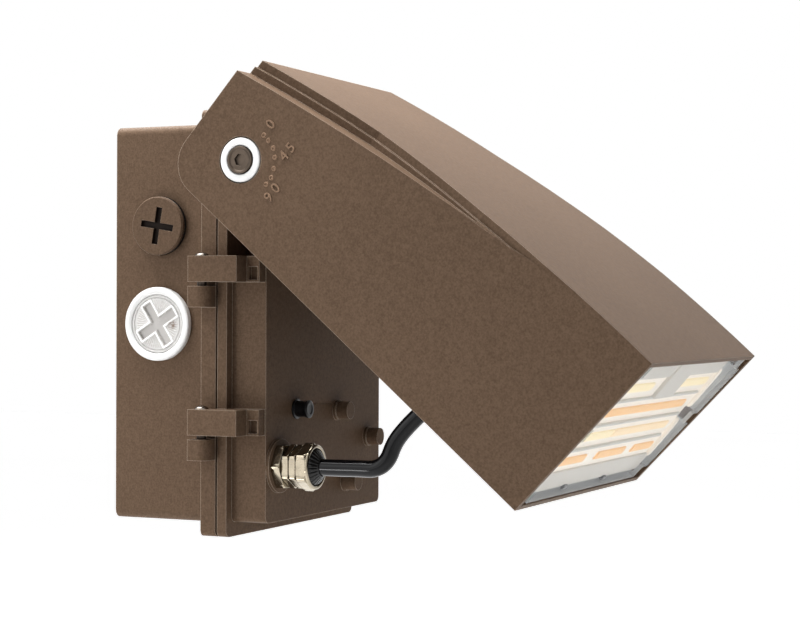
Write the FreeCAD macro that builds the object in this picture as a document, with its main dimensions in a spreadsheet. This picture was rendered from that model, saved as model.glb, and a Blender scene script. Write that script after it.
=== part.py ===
import FreeCAD, Part
import math
import os
import re
import Sketcher
from FreeCAD import Placement, Rotation, Vector

# Adjustable wall pack light. Millimetres, +Z up, +Y into the wall, origin at the middle of the back face.
# "Depth" is the distance out from the wall. The lamp head is drawn level, pointing away from the wall,
# with its pivot at its own origin, and its placement then tilts it down.

doc = FreeCAD.newDocument("wall_pack_light")

dimensions = [
    # back box
    ("box_width", 120.0), ("box_height", 185.0), ("box_depth", 49.8), ("box_wall", 3.0),
    ("box_back", 3.5), ("box_round", 4.0), ("rim_overhang", 6.0), ("rim_thick", 7.8), ("rim_round", 3.0),
    ("wire_entry_radius", 11.1), ("hole_corner_x", 88.0), ("hole_corner_z", 150.0), ("hole_radius", 3.2),
    ("gang_spacing", 83.3), ("gang_hole_radius", 2.4),
    # seal between box and cover
    ("seal_thick", 0.9), ("seal_inset", 1.0), ("seal_width", 4.5),
    # hinged front cover
    ("cover_thick", 4.9), ("platform_inset", 5.0), ("platform_foot", 6.7), ("platform_top", 30.8),
    ("platform_rise", 17.8), ("platform_wall", 3.2), ("platform_round", 3.0),
    # hinge on the left edge
    ("hinge_gap", 0.5), ("knuckle_radius", 4.8), ("pin_behind", 3.5), ("pin_radius", 2.0),
    ("pin_fit", 0.05), ("pin_head_radius", 3.2), ("pin_head_thick", 1.4), ("hinge_high", 24.8),
    ("hinge_low", 45.4), ("arm_height", 11.9), ("arm_reach", 20.7), ("knuckle_height", 9.7),
    ("knuckle_drop", 1.9), ("arm_pocket_long", 4.6), ("arm_pocket_high", 6.0), ("arm_pocket_deep", 2.4),
    ("arm_root_step", 0.6),
    # screw lugs on the right edge
    ("lug_height", 11.9), ("lug_reach", 11.0), ("lug_round", 4.0), ("lug_screw_radius", 2.5),
    ("lug_screw_long", 12.0), ("lug_head_radius", 4.6), ("lug_head_high", 3.6), ("screw_fit", 0.1),
    # cover front: pegs, breather and cable gland
    ("peg_1_x", 12.3), ("peg_1_z", 42.9), ("peg_2_x", 46.8), ("peg_2_z", 57.6), ("peg_3_x", 21.5),
    ("peg_3_z", 78.5), ("peg_radius", 4.3), ("peg_long", 7.6), ("peg_foot_radius", 4.9),
    ("peg_foot", 1.6), ("breather_x", 31.0), ("breather_z", 40.4), ("breather_radius", 4.2),
    ("breather_long", 7.4), ("breather_stem", 2.6), ("gland_x", 48.5), ("gland_z", 66.0),
    ("gland_boss", 1.5), ("gland_boss_radius", 12.5), ("gland_flats", 19.6), ("gland_hex", 4.4),
    ("gland_collar", 7.9), ("gland_collar_inset", 0.9), ("gland_groove", 0.6), ("gland_nut_hex", 4.9),
    ("gland_barrel", 1.4), ("gland_barrel_radius", 10.4), ("gland_lip", 0.7), ("gland_mouth_radius", 8.6),
    ("gland_mouth_deep", 4.2), ("gland_thread_radius", 7.6), ("gland_thread", 9.0),
    ("gland_locknut", 3.0), ("gland_locknut_radius", 9.0), ("gland_bore_radius", 5.2),
    ("gland_rise", 2.0), ("gland_relief", 0.9), ("cable_radius", 3.9),
    # conduit plug and photocell on the left side of the box
    ("plug_depth", 24.9), ("plug_z", 45.3), ("plug_radius", 13.7), ("plug_thick", 2.4),
    ("plug_seal", 3.2), ("plug_thread_radius", 10.4), ("plug_thread", 11.0), ("plug_slot_long", 17.5),
    ("plug_slot_wide", 3.2), ("plug_slot_deep", 1.8), ("plug_turn", 10.0), ("photo_depth", 24.0),
    ("photo_z", -0.6), ("photo_ring_radius", 17.3), ("photo_ring_thick", 1.6), ("photo_cap_radius", 13.6),
    ("photo_cap_thick", 4.6), ("photo_thread_radius", 10.4), ("photo_thread", 14.0), ("photo_wall", 1.6),
    ("photo_cross_long", 21.0), ("photo_cross_wide", 4.2), ("photo_cross_high", 1.3),
    ("photo_turn", 45.0), ("photo_nut_thick", 4.0), ("photo_nut_flats", 26.0), ("photo_cell_radius", 7.0),
    ("photo_cell_thick", 4.0), ("photo_cell_legs", 5.0),
    # yoke that carries the head
    ("pivot_depth", 80.1), ("pivot_z", 73.1), ("tilt", 41.0), ("yoke_width", 100.0), ("yoke_base", 6.0),
    ("yoke_low", 38.0), ("yoke_high", 92.0), ("hub_radius", 13.0), ("hub_inner", 46.0),
    ("web_outer", 62.0), ("yoke_screw_x", 36.0), ("yoke_screw_spacing", 38.0), ("yoke_screw_radius", 2.5),
    ("yoke_screw_long", 9.0), ("yoke_screw_head_radius", 4.4), ("yoke_screw_head", 3.0),
    ("tooth_washer", 1.2), ("tooth_washer_radius", 12.0), ("pivot_gap", 0.3), ("pivot_radius", 4.0),
    ("pivot_fit", 0.05), ("pivot_thread", 14.0), ("pivot_head_radius", 6.3), ("pivot_head", 2.3),
    ("pivot_socket_flats", 5.0), ("pivot_socket_deep", 1.4), ("pivot_ring_radius", 10.0),
    ("pivot_ring_thick", 3.0), ("pivot_ring_floor", 1.0), ("pivot_ring_fit", 0.6),
    ("pivot_ring_proud", 0.4), ("pivot_head_gap", 0.2), ("pivot_boss", 2.5), ("pivot_boss_radius", 15.0),
    # lamp head housing
    ("head_width", 168.0), ("cheek_wall", 3.0), ("head_reach", 198.5), ("head_lean", 4.0),
    ("head_below", 27.4), ("head_back", 27.6), ("cheek_back_rise", 29.2), ("cheek_mid_reach", 122.0),
    ("cheek_mid_rise", 53.7), ("cheek_radius", 1250.0), ("cheek_join_reach", 141.0),
    ("cheek_join_rise", 57.4), ("heel_radius", 16.0), ("crown_back_rise", 36.9),
    ("crown_front_rise", 58.8), ("crown_radius", 900.0), ("crown_step", 3.9), ("crown_inset", 14.4),
    ("crown_step_width", 2.4), ("crown_straight", 40.0), ("crown_flare_reach", 105.0),
    ("crown_flare_inset", 3.3), ("crown_side", 2.6), ("crown_skin", 3.5), ("roof_wall", 4.6),
    ("lamp_wall", 2.3), ("past_end", 20.0), ("end_slope", 0.2), ("bulkhead_back", 174.0),
    ("bulkhead_thick", 3.0), ("wireway_width", 16.0), ("wireway_low", 37.0), ("wireway_end", 9.0),
    ("wireway_rise", 12.5), ("wire_radius", 3.4),
    # cable entry inside the head
    ("entry_x", 40.0), ("entry_reach", 60.0), ("entry_high", 34.0), ("entry_tip", 28.0),
    ("entry_radius", 9.0), ("entry_thread_radius", 6.0),
    # light engine behind the lens
    ("engine_fit", 0.3), ("spreader_thick", 8.0), ("board_side", 6.7), ("board_low", 14.0),
    ("board_high", 72.0), ("board_pad", 8.0), ("board_thick", 1.6), ("row_1", 22.0), ("row_pitch", 14.0),
    ("strip_thick", 0.8), ("strip_high", 4.6), ("strip_side", 5.0), ("strip_gap", 12.0),
    ("rib_thick", 1.4), ("rib_high", 1.2), ("engine_seal_thick", 1.5), ("engine_seal_width", 2.6),
    ("lens_thick", 2.4), ("lens_skirt", 2.0), ("lens_setback", 0.5), ("notch_size", 7.0),
    ("notch_inset", 3.7), ("engine_screw_radius", 1.5), ("engine_screw_long", 6.0),
    ("engine_screw_head_radius", 2.7), ("engine_screw_head", 2.0),
    # driver and wiring inside the box
    ("driver_width", 62.0), ("driver_height", 88.0), ("driver_thick", 24.0), ("driver_x", 8.0),
    ("driver_z", 30.0), ("driver_tab", 9.0), ("driver_tab_wide", 20.0), ("driver_tab_thick", 2.0),
    ("driver_screw_radius", 1.9), ("driver_screw_head_radius", 3.6), ("driver_screw_head", 2.4),
    ("driver_screw_long", 6.0), ("post_radius", 4.2), ("post_high", 3.0), ("block_width", 46.0),
    ("block_height", 16.0), ("block_depth", 13.0), ("block_z", 62.0), ("block_pitch", 14.0),
    ("block_way_radius", 2.4), ("block_way_deep", 8.0), ("ground_x", 38.0), ("ground_z", 40.0),
    ("ground_thread", 6.0), ("ground_radius", 2.4), ("ground_head_radius", 4.6), ("ground_head", 3.0),
    ("ground_boss", 5.0),
]

sheet = doc.addObject("Spreadsheet::Sheet", "Sizes")
for row, (alias, number) in enumerate(dimensions, start=1):
    sheet.set(f"A{row}", alias)
    sheet.set(f"B{row}", str(number))
    sheet.setAlias(f"B{row}", alias)
doc.recompute()

aliases = {alias for alias, number in dimensions}
subparts = []

# places that several pieces share, as formulas over the sheet
shared = {
    "rim_front": "(box_depth + rim_thick)",
    "cover_back": "(box_depth + rim_thick + seal_thick)",
    "cover_front": "(box_depth + rim_thick + seal_thick + cover_thick)",
    "platform_front": "(box_depth + rim_thick + seal_thick + cover_thick + platform_rise)",
    "half_box": "(box_width / 2)",
    "half_rim": "(box_width / 2 + rim_overhang)",
    "half_rim_high": "(box_height / 2 + rim_overhang)",
    "half_platform": "(box_width / 2 + rim_overhang - platform_inset)",
    "platform_bottom": "(box_height / 2 + rim_overhang - platform_foot)",
    "pin_x": "(box_width / 2 + rim_overhang + hinge_gap + knuckle_radius)",
    "pin_depth": "(box_depth + pin_behind)",
    "cheek_inner": "(head_width / 2 - cheek_wall)",
    "hub_face": "(head_width / 2 - cheek_wall - pivot_boss - pivot_gap - tooth_washer)",
    "ring_floor": "(head_width / 2 + pivot_ring_proud - pivot_ring_thick)",
    "screw_seat": "(head_width / 2 + pivot_ring_proud - pivot_ring_thick + pivot_ring_floor"
                  " + pivot_head_gap)",
    "spreader_back": "(bulkhead_back + bulkhead_thick)",
    "spreader_front": "(bulkhead_back + bulkhead_thick + spreader_thick)",
    "board_back": "(bulkhead_back + bulkhead_thick + spreader_thick + board_pad)",
    "board_front": "(bulkhead_back + bulkhead_thick + spreader_thick + board_pad + board_thick)",
    "seal_front": "(bulkhead_back + bulkhead_thick + spreader_thick + engine_seal_thick)",
    "head_high": "(head_below + crown_front_rise)",
    "lamp_half": "(head_width / 2 - lamp_wall)",
    "lamp_low": "(lamp_wall - head_below)",
    "lamp_high": "(crown_front_rise - lamp_wall)",
    "board_half": "(head_width / 2 - lamp_wall - board_side)",
    "strip_end": "(head_width / 2 - lamp_wall - board_side - strip_side)",
    "post_top": "(box_depth + rim_thick + seal_thick + cover_thick + platform_rise"
                " - platform_wall - post_high)",
    "yoke_middle": "((yoke_low + yoke_high) / 2)",
}


def formula(text):
    """A size formula with each name written as a reference to the sheet."""
    text = re.sub(r"[a-z]\w*", lambda m: shared.get(m[0], m[0]), str(text))
    return re.sub(r"[a-z]\w*", lambda m: f"Sizes.{m[0]}" if m[0] in aliases else m[0], text)


def value(text):
    """The number that a formula gives now."""
    return float(sheet.evalExpression(formula(text)))


def bind(item, name, text):
    item.setExpression(name, formula(text))


def minus(text):
    return f"-({text})"


# --- outlines: lists of ("to", x, y), ("arc", x, y, radius, side) and ("circle", x, y, radius) -------------
# An arc with side -1 turns anticlockwise and one with side 1 turns clockwise.


def polygon(*corners):
    return [("to", x, y) for x, y in corners]


def rectangle(left, low, right, high):
    return polygon((left, low), (right, low), (right, high), (left, high))


def rounded(left, low, right, high, radius):
    """A rectangle with round corners, drawn anticlockwise."""
    return [
        ("to", f"({right}) - ({radius})", low),
        ("arc", right, f"({low}) + ({radius})", radius, -1),
        ("to", right, f"({high}) - ({radius})"),
        ("arc", f"({right}) - ({radius})", high, radius, -1),
        ("to", f"({left}) + ({radius})", high),
        ("arc", left, f"({high}) - ({radius})", radius, -1),
        ("to", left, f"({low}) + ({radius})"),
        ("arc", f"({left}) + ({radius})", low, radius, -1),
    ]


def centred(half_width, half_height, radius):
    return rounded(minus(half_width), minus(half_height), half_width, half_height, radius)


def circle(x, y, radius):
    return [("circle", x, y, radius)]


def hexagon(x, y, flats, first_corner=0):
    """A hexagon given across its flats, with its first corner at an angle from the right."""
    outer = f"({flats}) * 0.5774"
    return polygon(*[
        (f"({x}) + ({outer}) * {round(math.cos(math.radians(angle)), 6)}",
         f"({y}) + ({outer}) * {round(math.sin(math.radians(angle)), 6)}")
        for angle in range(first_corner, first_corner + 360, 60)
    ])


def draw(body, name, plane, outlines, offset):
    """A sketch on one of the body's own origin planes, with every point and radius bound to the sheet."""
    sketch = body.newObject("Sketcher::SketchObject", name)
    origin = {feature.Role: feature for feature in body.Origin.OriginFeatures}
    sketch.AttachmentSupport = [(origin[plane], "")]
    sketch.MapMode = "FlatFace"
    sketch.AttachmentOffset = Placement(Vector(0, 0, value(offset)), Rotation())
    bind(sketch, "AttachmentOffset.Base.z", offset)
    for outline in outlines:
        if outline[0][0] == "circle":
            add_circle(sketch, outline[0])
        else:
            add_loop(sketch, outline)
    return sketch


def pin_down(sketch, kind, size, *places):
    """One constraint, bound to its formula."""
    number = sketch.addConstraint(Sketcher.Constraint(kind, *places, value(size)))
    sketch.renameConstraint(number, f"size_{number}")
    bind(sketch, f"Constraints.size_{number}", size)


def add_circle(sketch, step):
    x, y, radius = step[1:]
    edge = sketch.addGeometry(Part.Circle(Vector(value(x), value(y), 0), Vector(0, 0, 1), value(radius)),
                              False)
    pin_down(sketch, "Radius", radius, edge)
    pin_down(sketch, "DistanceX", x, -1, 1, edge, 3)
    pin_down(sketch, "DistanceY", y, -1, 1, edge, 3)


def add_loop(sketch, outline):
    """A closed loop: each step leads to its own point, and the first one closes the loop."""
    points = [Vector(value(step[1]), value(step[2]), 0) for step in outline]
    ends = []
    for number, step in enumerate(outline):
        start, stop = points[number - 1], points[number]
        if step[0] == "arc":
            radius = value(step[3])
            chord = stop - start
            rise = radius - math.sqrt(radius * radius - chord.Length ** 2 / 4)
            middle = (start + stop) / 2 + Vector(-chord.y, chord.x, 0).normalize() * rise * step[4]
            anticlockwise = step[4] < 0
            arc = Part.Arc(start, middle, stop) if anticlockwise else Part.Arc(stop, middle, start)
            edge = sketch.addGeometry(arc, False)
            ends.append((edge, 1, 2) if anticlockwise else (edge, 2, 1))
            pin_down(sketch, "Radius", step[3], edge)
        else:
            edge = sketch.addGeometry(Part.LineSegment(start, stop), False)
            ends.append((edge, 1, 2))
    for number, (edge, first, last) in enumerate(ends):
        after = ends[(number + 1) % len(ends)]
        sketch.addConstraint(Sketcher.Constraint("Coincident", edge, last, after[0], after[1]))
        pin_down(sketch, "DistanceX", outline[number][1], -1, 1, edge, last)
        pin_down(sketch, "DistanceY", outline[number][2], -1, 1, edge, last)


# --- solids ------------------------------------------------------------------------------------------------
# A front sketch is padded out from the wall, a side sketch towards +X and a top sketch towards +Z.

front, side, top = "XZ_Plane", "YZ_Plane", "XY_Plane"
cuts = []


def new_body(name):
    body = doc.addObject("PartDesign::Body", name)
    body.AllowCompound = True
    return body


def pad(body, plane, outlines, start, stop):
    number = len(body.Group)
    sketch = draw(body, f"{body.Name}_outline_{number}", plane, outlines, start)
    feature = body.newObject("PartDesign::Pad", f"{body.Name}_pad_{number}")
    feature.Profile = sketch
    bind(feature, "Length", f"({stop}) - ({start})")
    return feature


def pocket(body, plane, outlines, start, stop):
    number = len(body.Group)
    base = body.Tip
    sketch = draw(body, f"{body.Name}_outline_{number}", plane, outlines, start)
    feature = body.newObject("PartDesign::Pocket", f"{body.Name}_cut_{number}")
    feature.Profile = sketch
    feature.Reversed = True
    bind(feature, "Length", f"({stop}) - ({start})")
    cuts.append((base, feature))
    return feature


def keep(item, label):
    item.Label = label
    subparts.append(item)
    return item


def place(item, x, y, z, turn="0"):
    """Puts a piece at a point, turned about the X direction."""
    item.Placement = Placement(Vector(value(x), value(y), value(z)), Rotation(Vector(1, 0, 0), value(turn)))
    for axis, text in (("x", x), ("y", y), ("z", z)):
        bind(item, f"Placement.Base.{axis}", text)
    bind(item, "Placement.Rotation.Angle", turn)
    return item


def on_head(item):
    """Puts a piece that was drawn level, with the pivot at its origin, on the tilted head."""
    return place(item, "0", minus("pivot_depth"), "pivot_z", "tilt")


def mirrored(low, high):
    """The two spans that a span on the right and its mirror image on the left take along X."""
    return [(low, high), (minus(high), minus(low))]


def front_at(rise):
    """How far out the head's leaning front face is at a height above the pivot."""
    return f"(head_reach + head_lean * (({rise}) + head_below) / head_high)"


# --- back box ----------------------------------------------------------------------------------------------


def hinge_places():
    """The two hinges: height of the arm's middle above the box's middle."""
    return ["hinge_high", minus("hinge_low")]


def back_box():
    body = new_body("back_box")
    pad(body, front, [centred("half_box", "box_height / 2", "box_round")], "0", "box_depth")
    pad(body, front, [centred("half_rim", "half_rim_high", "rim_round")], "box_depth", "rim_front")
    for middle in hinge_places():
        top_face = f"({middle}) - arm_height / 2 - knuckle_drop"
        knuckle = [
            ("to", minus("half_rim - 2"), minus("rim_front - 0.4")),
            ("to", minus("half_rim - 2"), minus("pin_depth - knuckle_radius")),
            ("to", minus("pin_x + knuckle_radius"), minus("pin_depth - knuckle_radius")),
            ("to", minus("pin_x + knuckle_radius"), minus("pin_depth")),
            ("arc", minus("pin_x"), minus("pin_depth + knuckle_radius"), "knuckle_radius", -1),
        ]
        pad(body, top, [knuckle], f"{top_face} - knuckle_height", top_face)
    lugs = []
    for middle in hinge_places():
        lugs.append(rounded("half_rim - 2 * lug_round", f"({middle}) - lug_height / 2",
                            "half_rim + lug_reach", f"({middle}) + lug_height / 2", "lug_round"))
    pad(body, front, lugs, "box_depth", "rim_front")
    inner = centred("half_box - box_wall", "box_height / 2 - box_wall", "box_round - box_wall / 2")
    pocket(body, front, [inner], "box_back", "rim_front + 1")
    pad(body, front, [circle("ground_x", "ground_z", "ground_head_radius")], "box_back",
        "box_back + ground_boss")
    pin_holes = [circle(minus("pin_x"), minus("pin_depth"), "pin_radius + pin_fit")]
    for middle in hinge_places():
        top_face = f"({middle}) - arm_height / 2 - knuckle_drop"
        pocket(body, top, pin_holes, f"{top_face} - knuckle_height - 1", f"{top_face} + 1")
    lug_x = "half_rim + lug_reach / 2"
    lug_holes = [circle(lug_x, middle, "lug_screw_radius + screw_fit") for middle in hinge_places()]
    pocket(body, front, lug_holes, "box_depth - 1", "rim_front + 1")
    side_holes = [circle(minus("plug_depth"), "plug_z", "plug_thread_radius + screw_fit"),
                  circle(minus("photo_depth"), "photo_z", "photo_thread_radius + screw_fit")]
    pocket(body, side, side_holes, minus("half_box + 1"), minus("half_box - box_wall - 1"))
    back_holes = [circle("0", "0", "wire_entry_radius")]
    for across in ("hole_corner_x / 2", minus("hole_corner_x / 2")):
        for up in ("hole_corner_z / 2", minus("hole_corner_z / 2")):
            back_holes.append(circle(across, up, "hole_radius"))
    for up in ("gang_spacing / 2", minus("gang_spacing / 2")):
        back_holes.append(circle("0", up, "gang_hole_radius"))
    pocket(body, front, back_holes, "-1", "box_back + 1")
    pocket(body, front, [circle("ground_x", "ground_z", "ground_radius + screw_fit")],
           "box_back + ground_boss - ground_thread", "box_back + ground_boss + 1")
    return keep(body, "back_box")


def box_seal():
    body = new_body("box_seal")
    outer = centred("half_rim - seal_inset", "half_rim_high - seal_inset", "rim_round")
    inner = centred("half_rim - seal_inset - seal_width", "half_rim_high - seal_inset - seal_width",
                    "rim_round")
    pad(body, front, [outer, inner], "rim_front", "cover_back")
    return keep(body, "box_seal")


def hinge_pins():
    """Two pins with domed heads: each stands in a knuckle of the box and carries an arm of the cover."""
    body = new_body("hinge_pins")
    axis = (minus("pin_x"), minus("pin_depth"))
    for middle in hinge_places():
        foot = f"({middle}) - arm_height / 2 - knuckle_drop - knuckle_height"
        head = f"({middle}) + arm_height / 2 + pivot_gap"
        pad(body, top, [circle(*axis, "pin_radius")], foot, head)
        pad(body, top, [circle(*axis, "pin_head_radius")], head, f"{head} + pin_head_thick * 0.6")
        pad(body, top, [circle(*axis, "pin_head_radius * 0.7")], f"{head} + pin_head_thick * 0.5",
            f"{head} + pin_head_thick")
    return keep(body, "hinge_pins")


def ground_screw():
    body = new_body("ground_screw")
    seat = "box_back + ground_boss"
    pad(body, front, [circle("ground_x", "ground_z", "ground_radius")], f"{seat} - ground_thread + 0.5",
        seat)
    pad(body, front, [circle("ground_x", "ground_z", "ground_head_radius")], seat, f"{seat} + ground_head")
    slot = rectangle("ground_x - ground_head_radius - 1", "ground_z - 0.6",
                     "ground_x + ground_head_radius + 1",
                     "ground_z + 0.6")
    pocket(body, front, [slot], f"{seat} + ground_head / 2", f"{seat} + ground_head + 1")
    return keep(body, "ground_screw")


def terminal_block():
    """A three-way block for the supply wires, on the back wall under the wire entry."""
    body = new_body("terminal_block")
    low = minus("block_z + block_height / 2")
    high = minus("block_z - block_height / 2")
    pad(body, front, [rectangle(minus("block_width / 2"), low, "block_width / 2", high)], "box_back",
        "box_back + block_depth")
    ways = [circle(f"block_pitch * {step}", minus("block_z"), "block_way_radius") for step in (-1, 0, 1)]
    pocket(body, front, ways, "box_back + block_depth - block_way_deep", "box_back + block_depth + 1")
    return keep(body, "terminal_block")


# --- conduit plug and photocell ----------------------------------------------------------------------------


def on_box_side(item, depth, height, turn="0"):
    return place(item, minus("half_box"), minus(depth), height, turn)


def side_disc(body, radius, start, stop):
    pad(body, side, [circle("0", "0", radius)], start, stop)


def cross(long, wide):
    """Two bars crossed at the middle, as one outline."""
    a, b = f"{long} / 2", f"{wide} / 2"
    return polygon((a, minus(b)), (a, b), (b, b), (b, a), (minus(b), a), (minus(b), b), (minus(a), b),
                   (minus(a), minus(b)), (minus(b), minus(b)), (minus(b), minus(a)), (b, minus(a)),
                   (b, minus(b)))


def plug_seal():
    body = new_body("plug_seal")
    pad(body, side,
        [circle("0", "0", "plug_radius - 0.4"), circle("0", "0", "plug_thread_radius + screw_fit")],
        minus("plug_seal"), "0")
    return keep(on_box_side(body, "plug_depth", "plug_z"), "plug_seal")


def conduit_plug():
    body = new_body("conduit_plug")
    face = minus("plug_seal + plug_thick")
    side_disc(body, "plug_radius", face, minus("plug_seal"))
    side_disc(body, "plug_thread_radius", minus("plug_seal"), "plug_thread - plug_seal")
    pocket(body, side, [cross("plug_slot_long", "plug_slot_wide")], f"{face} - 1",
           f"{face} + plug_slot_deep")
    return keep(on_box_side(body, "plug_depth", "plug_z", "plug_turn"), "conduit_plug")


def photocell_ring():
    body = new_body("photocell_ring")
    pad(body, side,
        [circle("0", "0", "photo_ring_radius"), circle("0", "0", "photo_thread_radius + screw_fit")],
        minus("photo_ring_thick"), "0")
    return keep(on_box_side(body, "photo_depth", "photo_z"), "photocell_ring")


def photocell_cap():
    """A clear screw-in cap: a disc with a raised cross, and a hollow thread through the box wall."""
    body = new_body("photocell_cap")
    face = minus("photo_ring_thick + photo_cap_thick")
    side_disc(body, "photo_cap_radius", face, minus("photo_ring_thick"))
    side_disc(body, "photo_thread_radius", minus("photo_ring_thick"), "photo_thread - photo_ring_thick")
    pad(body, side, [cross("photo_cross_long", "photo_cross_wide")], f"{face} - photo_cross_high", face)
    pocket(body, side, [circle("0", "0", "photo_thread_radius - photo_wall")], f"{face} + photo_wall",
           "photo_thread")
    return keep(on_box_side(body, "photo_depth", "photo_z", "photo_turn"), "photocell_cap")


def photocell_cell():
    """The light sensor, seated at the closed end of the cap, with two legs into the box."""
    body = new_body("photocell_cell")
    seat = minus("photo_ring_thick + photo_cap_thick - photo_wall")
    side_disc(body, "photo_cell_radius", seat, f"{seat} + photo_cell_thick")
    legs = [circle(across, "0", "0.6") for across in ("2.5", "-2.5")]
    pad(body, side, legs, f"{seat} + photo_cell_thick", f"{seat} + photo_cell_thick + photo_cell_legs")
    return keep(on_box_side(body, "photo_depth", "photo_z"), "photocell_cell")


def photocell_nut():
    body = new_body("photocell_nut")
    pad(body, side,
        [hexagon("0", "0", "photo_nut_flats"), circle("0", "0", "photo_thread_radius + screw_fit")],
        "box_wall", "box_wall + photo_nut_thick")
    return keep(on_box_side(body, "photo_depth", "photo_z"), "photocell_nut")


# --- front cover -------------------------------------------------------------------------------------------


def yoke_holes(radius):
    holes = []
    for across in ("yoke_screw_x", minus("yoke_screw_x")):
        for up in ("yoke_middle + yoke_screw_spacing / 2", "yoke_middle - yoke_screw_spacing / 2"):
            holes.append(circle(across, up, radius))
    return holes


def driver_screw_places():
    return [("driver_x", minus("driver_z + driver_height / 2 + driver_tab / 2")),
            ("driver_x", minus("driver_z - driver_height / 2 - driver_tab / 2"))]


def hinge_arm(body, middle):
    """An arm from the side of the platform that reaches back round the flange to the hinge pin."""
    inside, flank = "half_platform - 1", "half_rim + hinge_gap"
    outer, tip = "pin_x + knuckle_radius", "pin_depth + arm_reach"
    root = "platform_front - arm_root_step"
    outline = [
        ("to", minus(inside), minus("cover_back")),
        ("to", minus(flank), minus("cover_back")),
        ("to", minus(flank), minus("pin_depth")),
        ("arc", minus("pin_x"), minus("pin_depth - knuckle_radius"), "knuckle_radius", -1),
        ("to", minus(outer), minus("pin_depth - knuckle_radius")),
        ("to", minus(outer), minus(tip)),
        ("to", minus(flank), minus(tip)),
        ("to", minus(flank), minus(root)),
        ("to", minus(inside), minus(root)),
    ]
    low, high = f"({middle}) - arm_height / 2", f"({middle}) + arm_height / 2"
    pad(body, top, [outline], low, high)
    hollow = rectangle(minus(f"{root} - 1"), f"{low} + 1", minus(f"{root} - 1 - arm_pocket_long"),
                       f"{low} + 1 + arm_pocket_high")
    pocket(body, side, [hollow], minus(f"{flank} + 0.5"), minus(f"{flank} - arm_pocket_deep"))
    pocket(body, top, [circle(minus("pin_x"), minus("pin_depth"), "pin_radius + pin_fit")],
           f"{low} - 1", f"{high} + 1")


def front_cover():
    body = new_body("front_cover")
    pad(body, front, [centred("half_rim", "half_rim_high", "rim_round")], "cover_back", "cover_front")
    platform = rounded(minus("half_platform"), minus("platform_bottom"), "half_platform", "platform_top",
                       "platform_round")
    pad(body, front, [platform], "cover_back", "platform_front")
    lugs = []
    for middle in hinge_places():
        lugs.append(rounded("half_rim - 2 * lug_round", f"({middle}) - lug_height / 2",
                            "half_rim + lug_reach", f"({middle}) + lug_height / 2", "lug_round"))
    pad(body, front, lugs, "cover_back", "cover_front")
    pad(body, front, yoke_holes("post_radius"), "cover_back - post_high", "cover_back")
    hollow = rounded(minus("half_platform - platform_wall"), minus("platform_bottom - platform_wall"),
                     "half_platform - platform_wall", "platform_top - platform_wall", "platform_round")
    pocket(body, front, [hollow], "cover_back - 1", "platform_front - platform_wall")
    posts = [circle(x, z, "post_radius") for x, z in driver_screw_places()]
    pad(body, front, posts, "post_top", "platform_front - platform_wall")
    for middle in hinge_places():
        hinge_arm(body, middle)
    places = [(f"peg_{number}_x", minus(f"peg_{number}_z")) for number in (1, 2, 3)]
    pad(body, front, [circle(x, z, "peg_foot_radius") for x, z in places], "platform_front",
        "platform_front + peg_foot")
    pad(body, front, [circle(x, z, "peg_radius") for x, z in places], "platform_front + peg_foot",
        "platform_front + peg_long")
    gland = (minus("gland_x"), minus("gland_z"))
    pad(body, front, [circle(*gland, "gland_boss_radius")], "platform_front", "platform_front + gland_boss")
    pocket(body, front, [circle(*gland, "gland_thread_radius + screw_fit")],
           "platform_front - platform_wall - 1", "platform_front + gland_boss + 1")
    pocket(body, front, [circle(minus("breather_x"), minus("breather_z"), "breather_stem + screw_fit")],
           "platform_front - platform_wall - 1", "platform_front + 1")
    lug_x = "half_rim + lug_reach / 2"
    pocket(body, front, [circle(lug_x, middle, "lug_screw_radius + pivot_gap") for middle in hinge_places()],
           "cover_back - 1", "cover_front + 1")
    pocket(body, front, yoke_holes("yoke_screw_radius + screw_fit"),
           "cover_front + yoke_base - yoke_screw_long",
           "cover_front + 1")
    pocket(body, front, [circle(x, z, "driver_screw_radius + screw_fit") for x, z in driver_screw_places()],
           "post_top - 1", "post_top + driver_screw_long - driver_tab_thick")
    return keep(body, "front_cover")


def round_screw(body, places, radius, head_radius, seat, head, long):
    """Screws that point into the wall: a shank in from the seat and a socket head out from it."""
    pad(body, front, [circle(x, z, radius) for x, z in places], f"{seat} - ({long})", seat)
    pad(body, front, [circle(x, z, head_radius) for x, z in places], seat, f"{seat} + {head}")
    pocket(body, front, [hexagon(x, z, radius) for x, z in places], f"{seat} + {head} / 2",
           f"{seat} + {head} + 1")


def cover_screws():
    body = new_body("cover_screws")
    places = [("half_rim + lug_reach / 2", middle) for middle in hinge_places()]
    round_screw(body, places, "lug_screw_radius", "lug_head_radius", "cover_front", "lug_head_high",
                "lug_screw_long")
    return keep(body, "cover_screws")


def breather_vent():
    """A black screw-in breather: a capped barrel on the platform with a stem through its wall."""
    body = new_body("breather_vent")
    axis = (minus("breather_x"), minus("breather_z"))
    pad(body, front, [circle(*axis, "breather_stem")], "platform_front - platform_wall - 1",
        "platform_front")
    pad(body, front, [circle(*axis, "breather_radius * 1.12")], "platform_front",
        "platform_front + peg_foot / 2")
    pad(body, front, [circle(*axis, "breather_radius * 0.9")], "platform_front + peg_foot / 2",
        "platform_front + breather_long - peg_foot")
    pad(body, front, [circle(*axis, "breather_radius")], "platform_front + breather_long - peg_foot",
        "platform_front + breather_long")
    return keep(body, "breather_vent")


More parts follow.
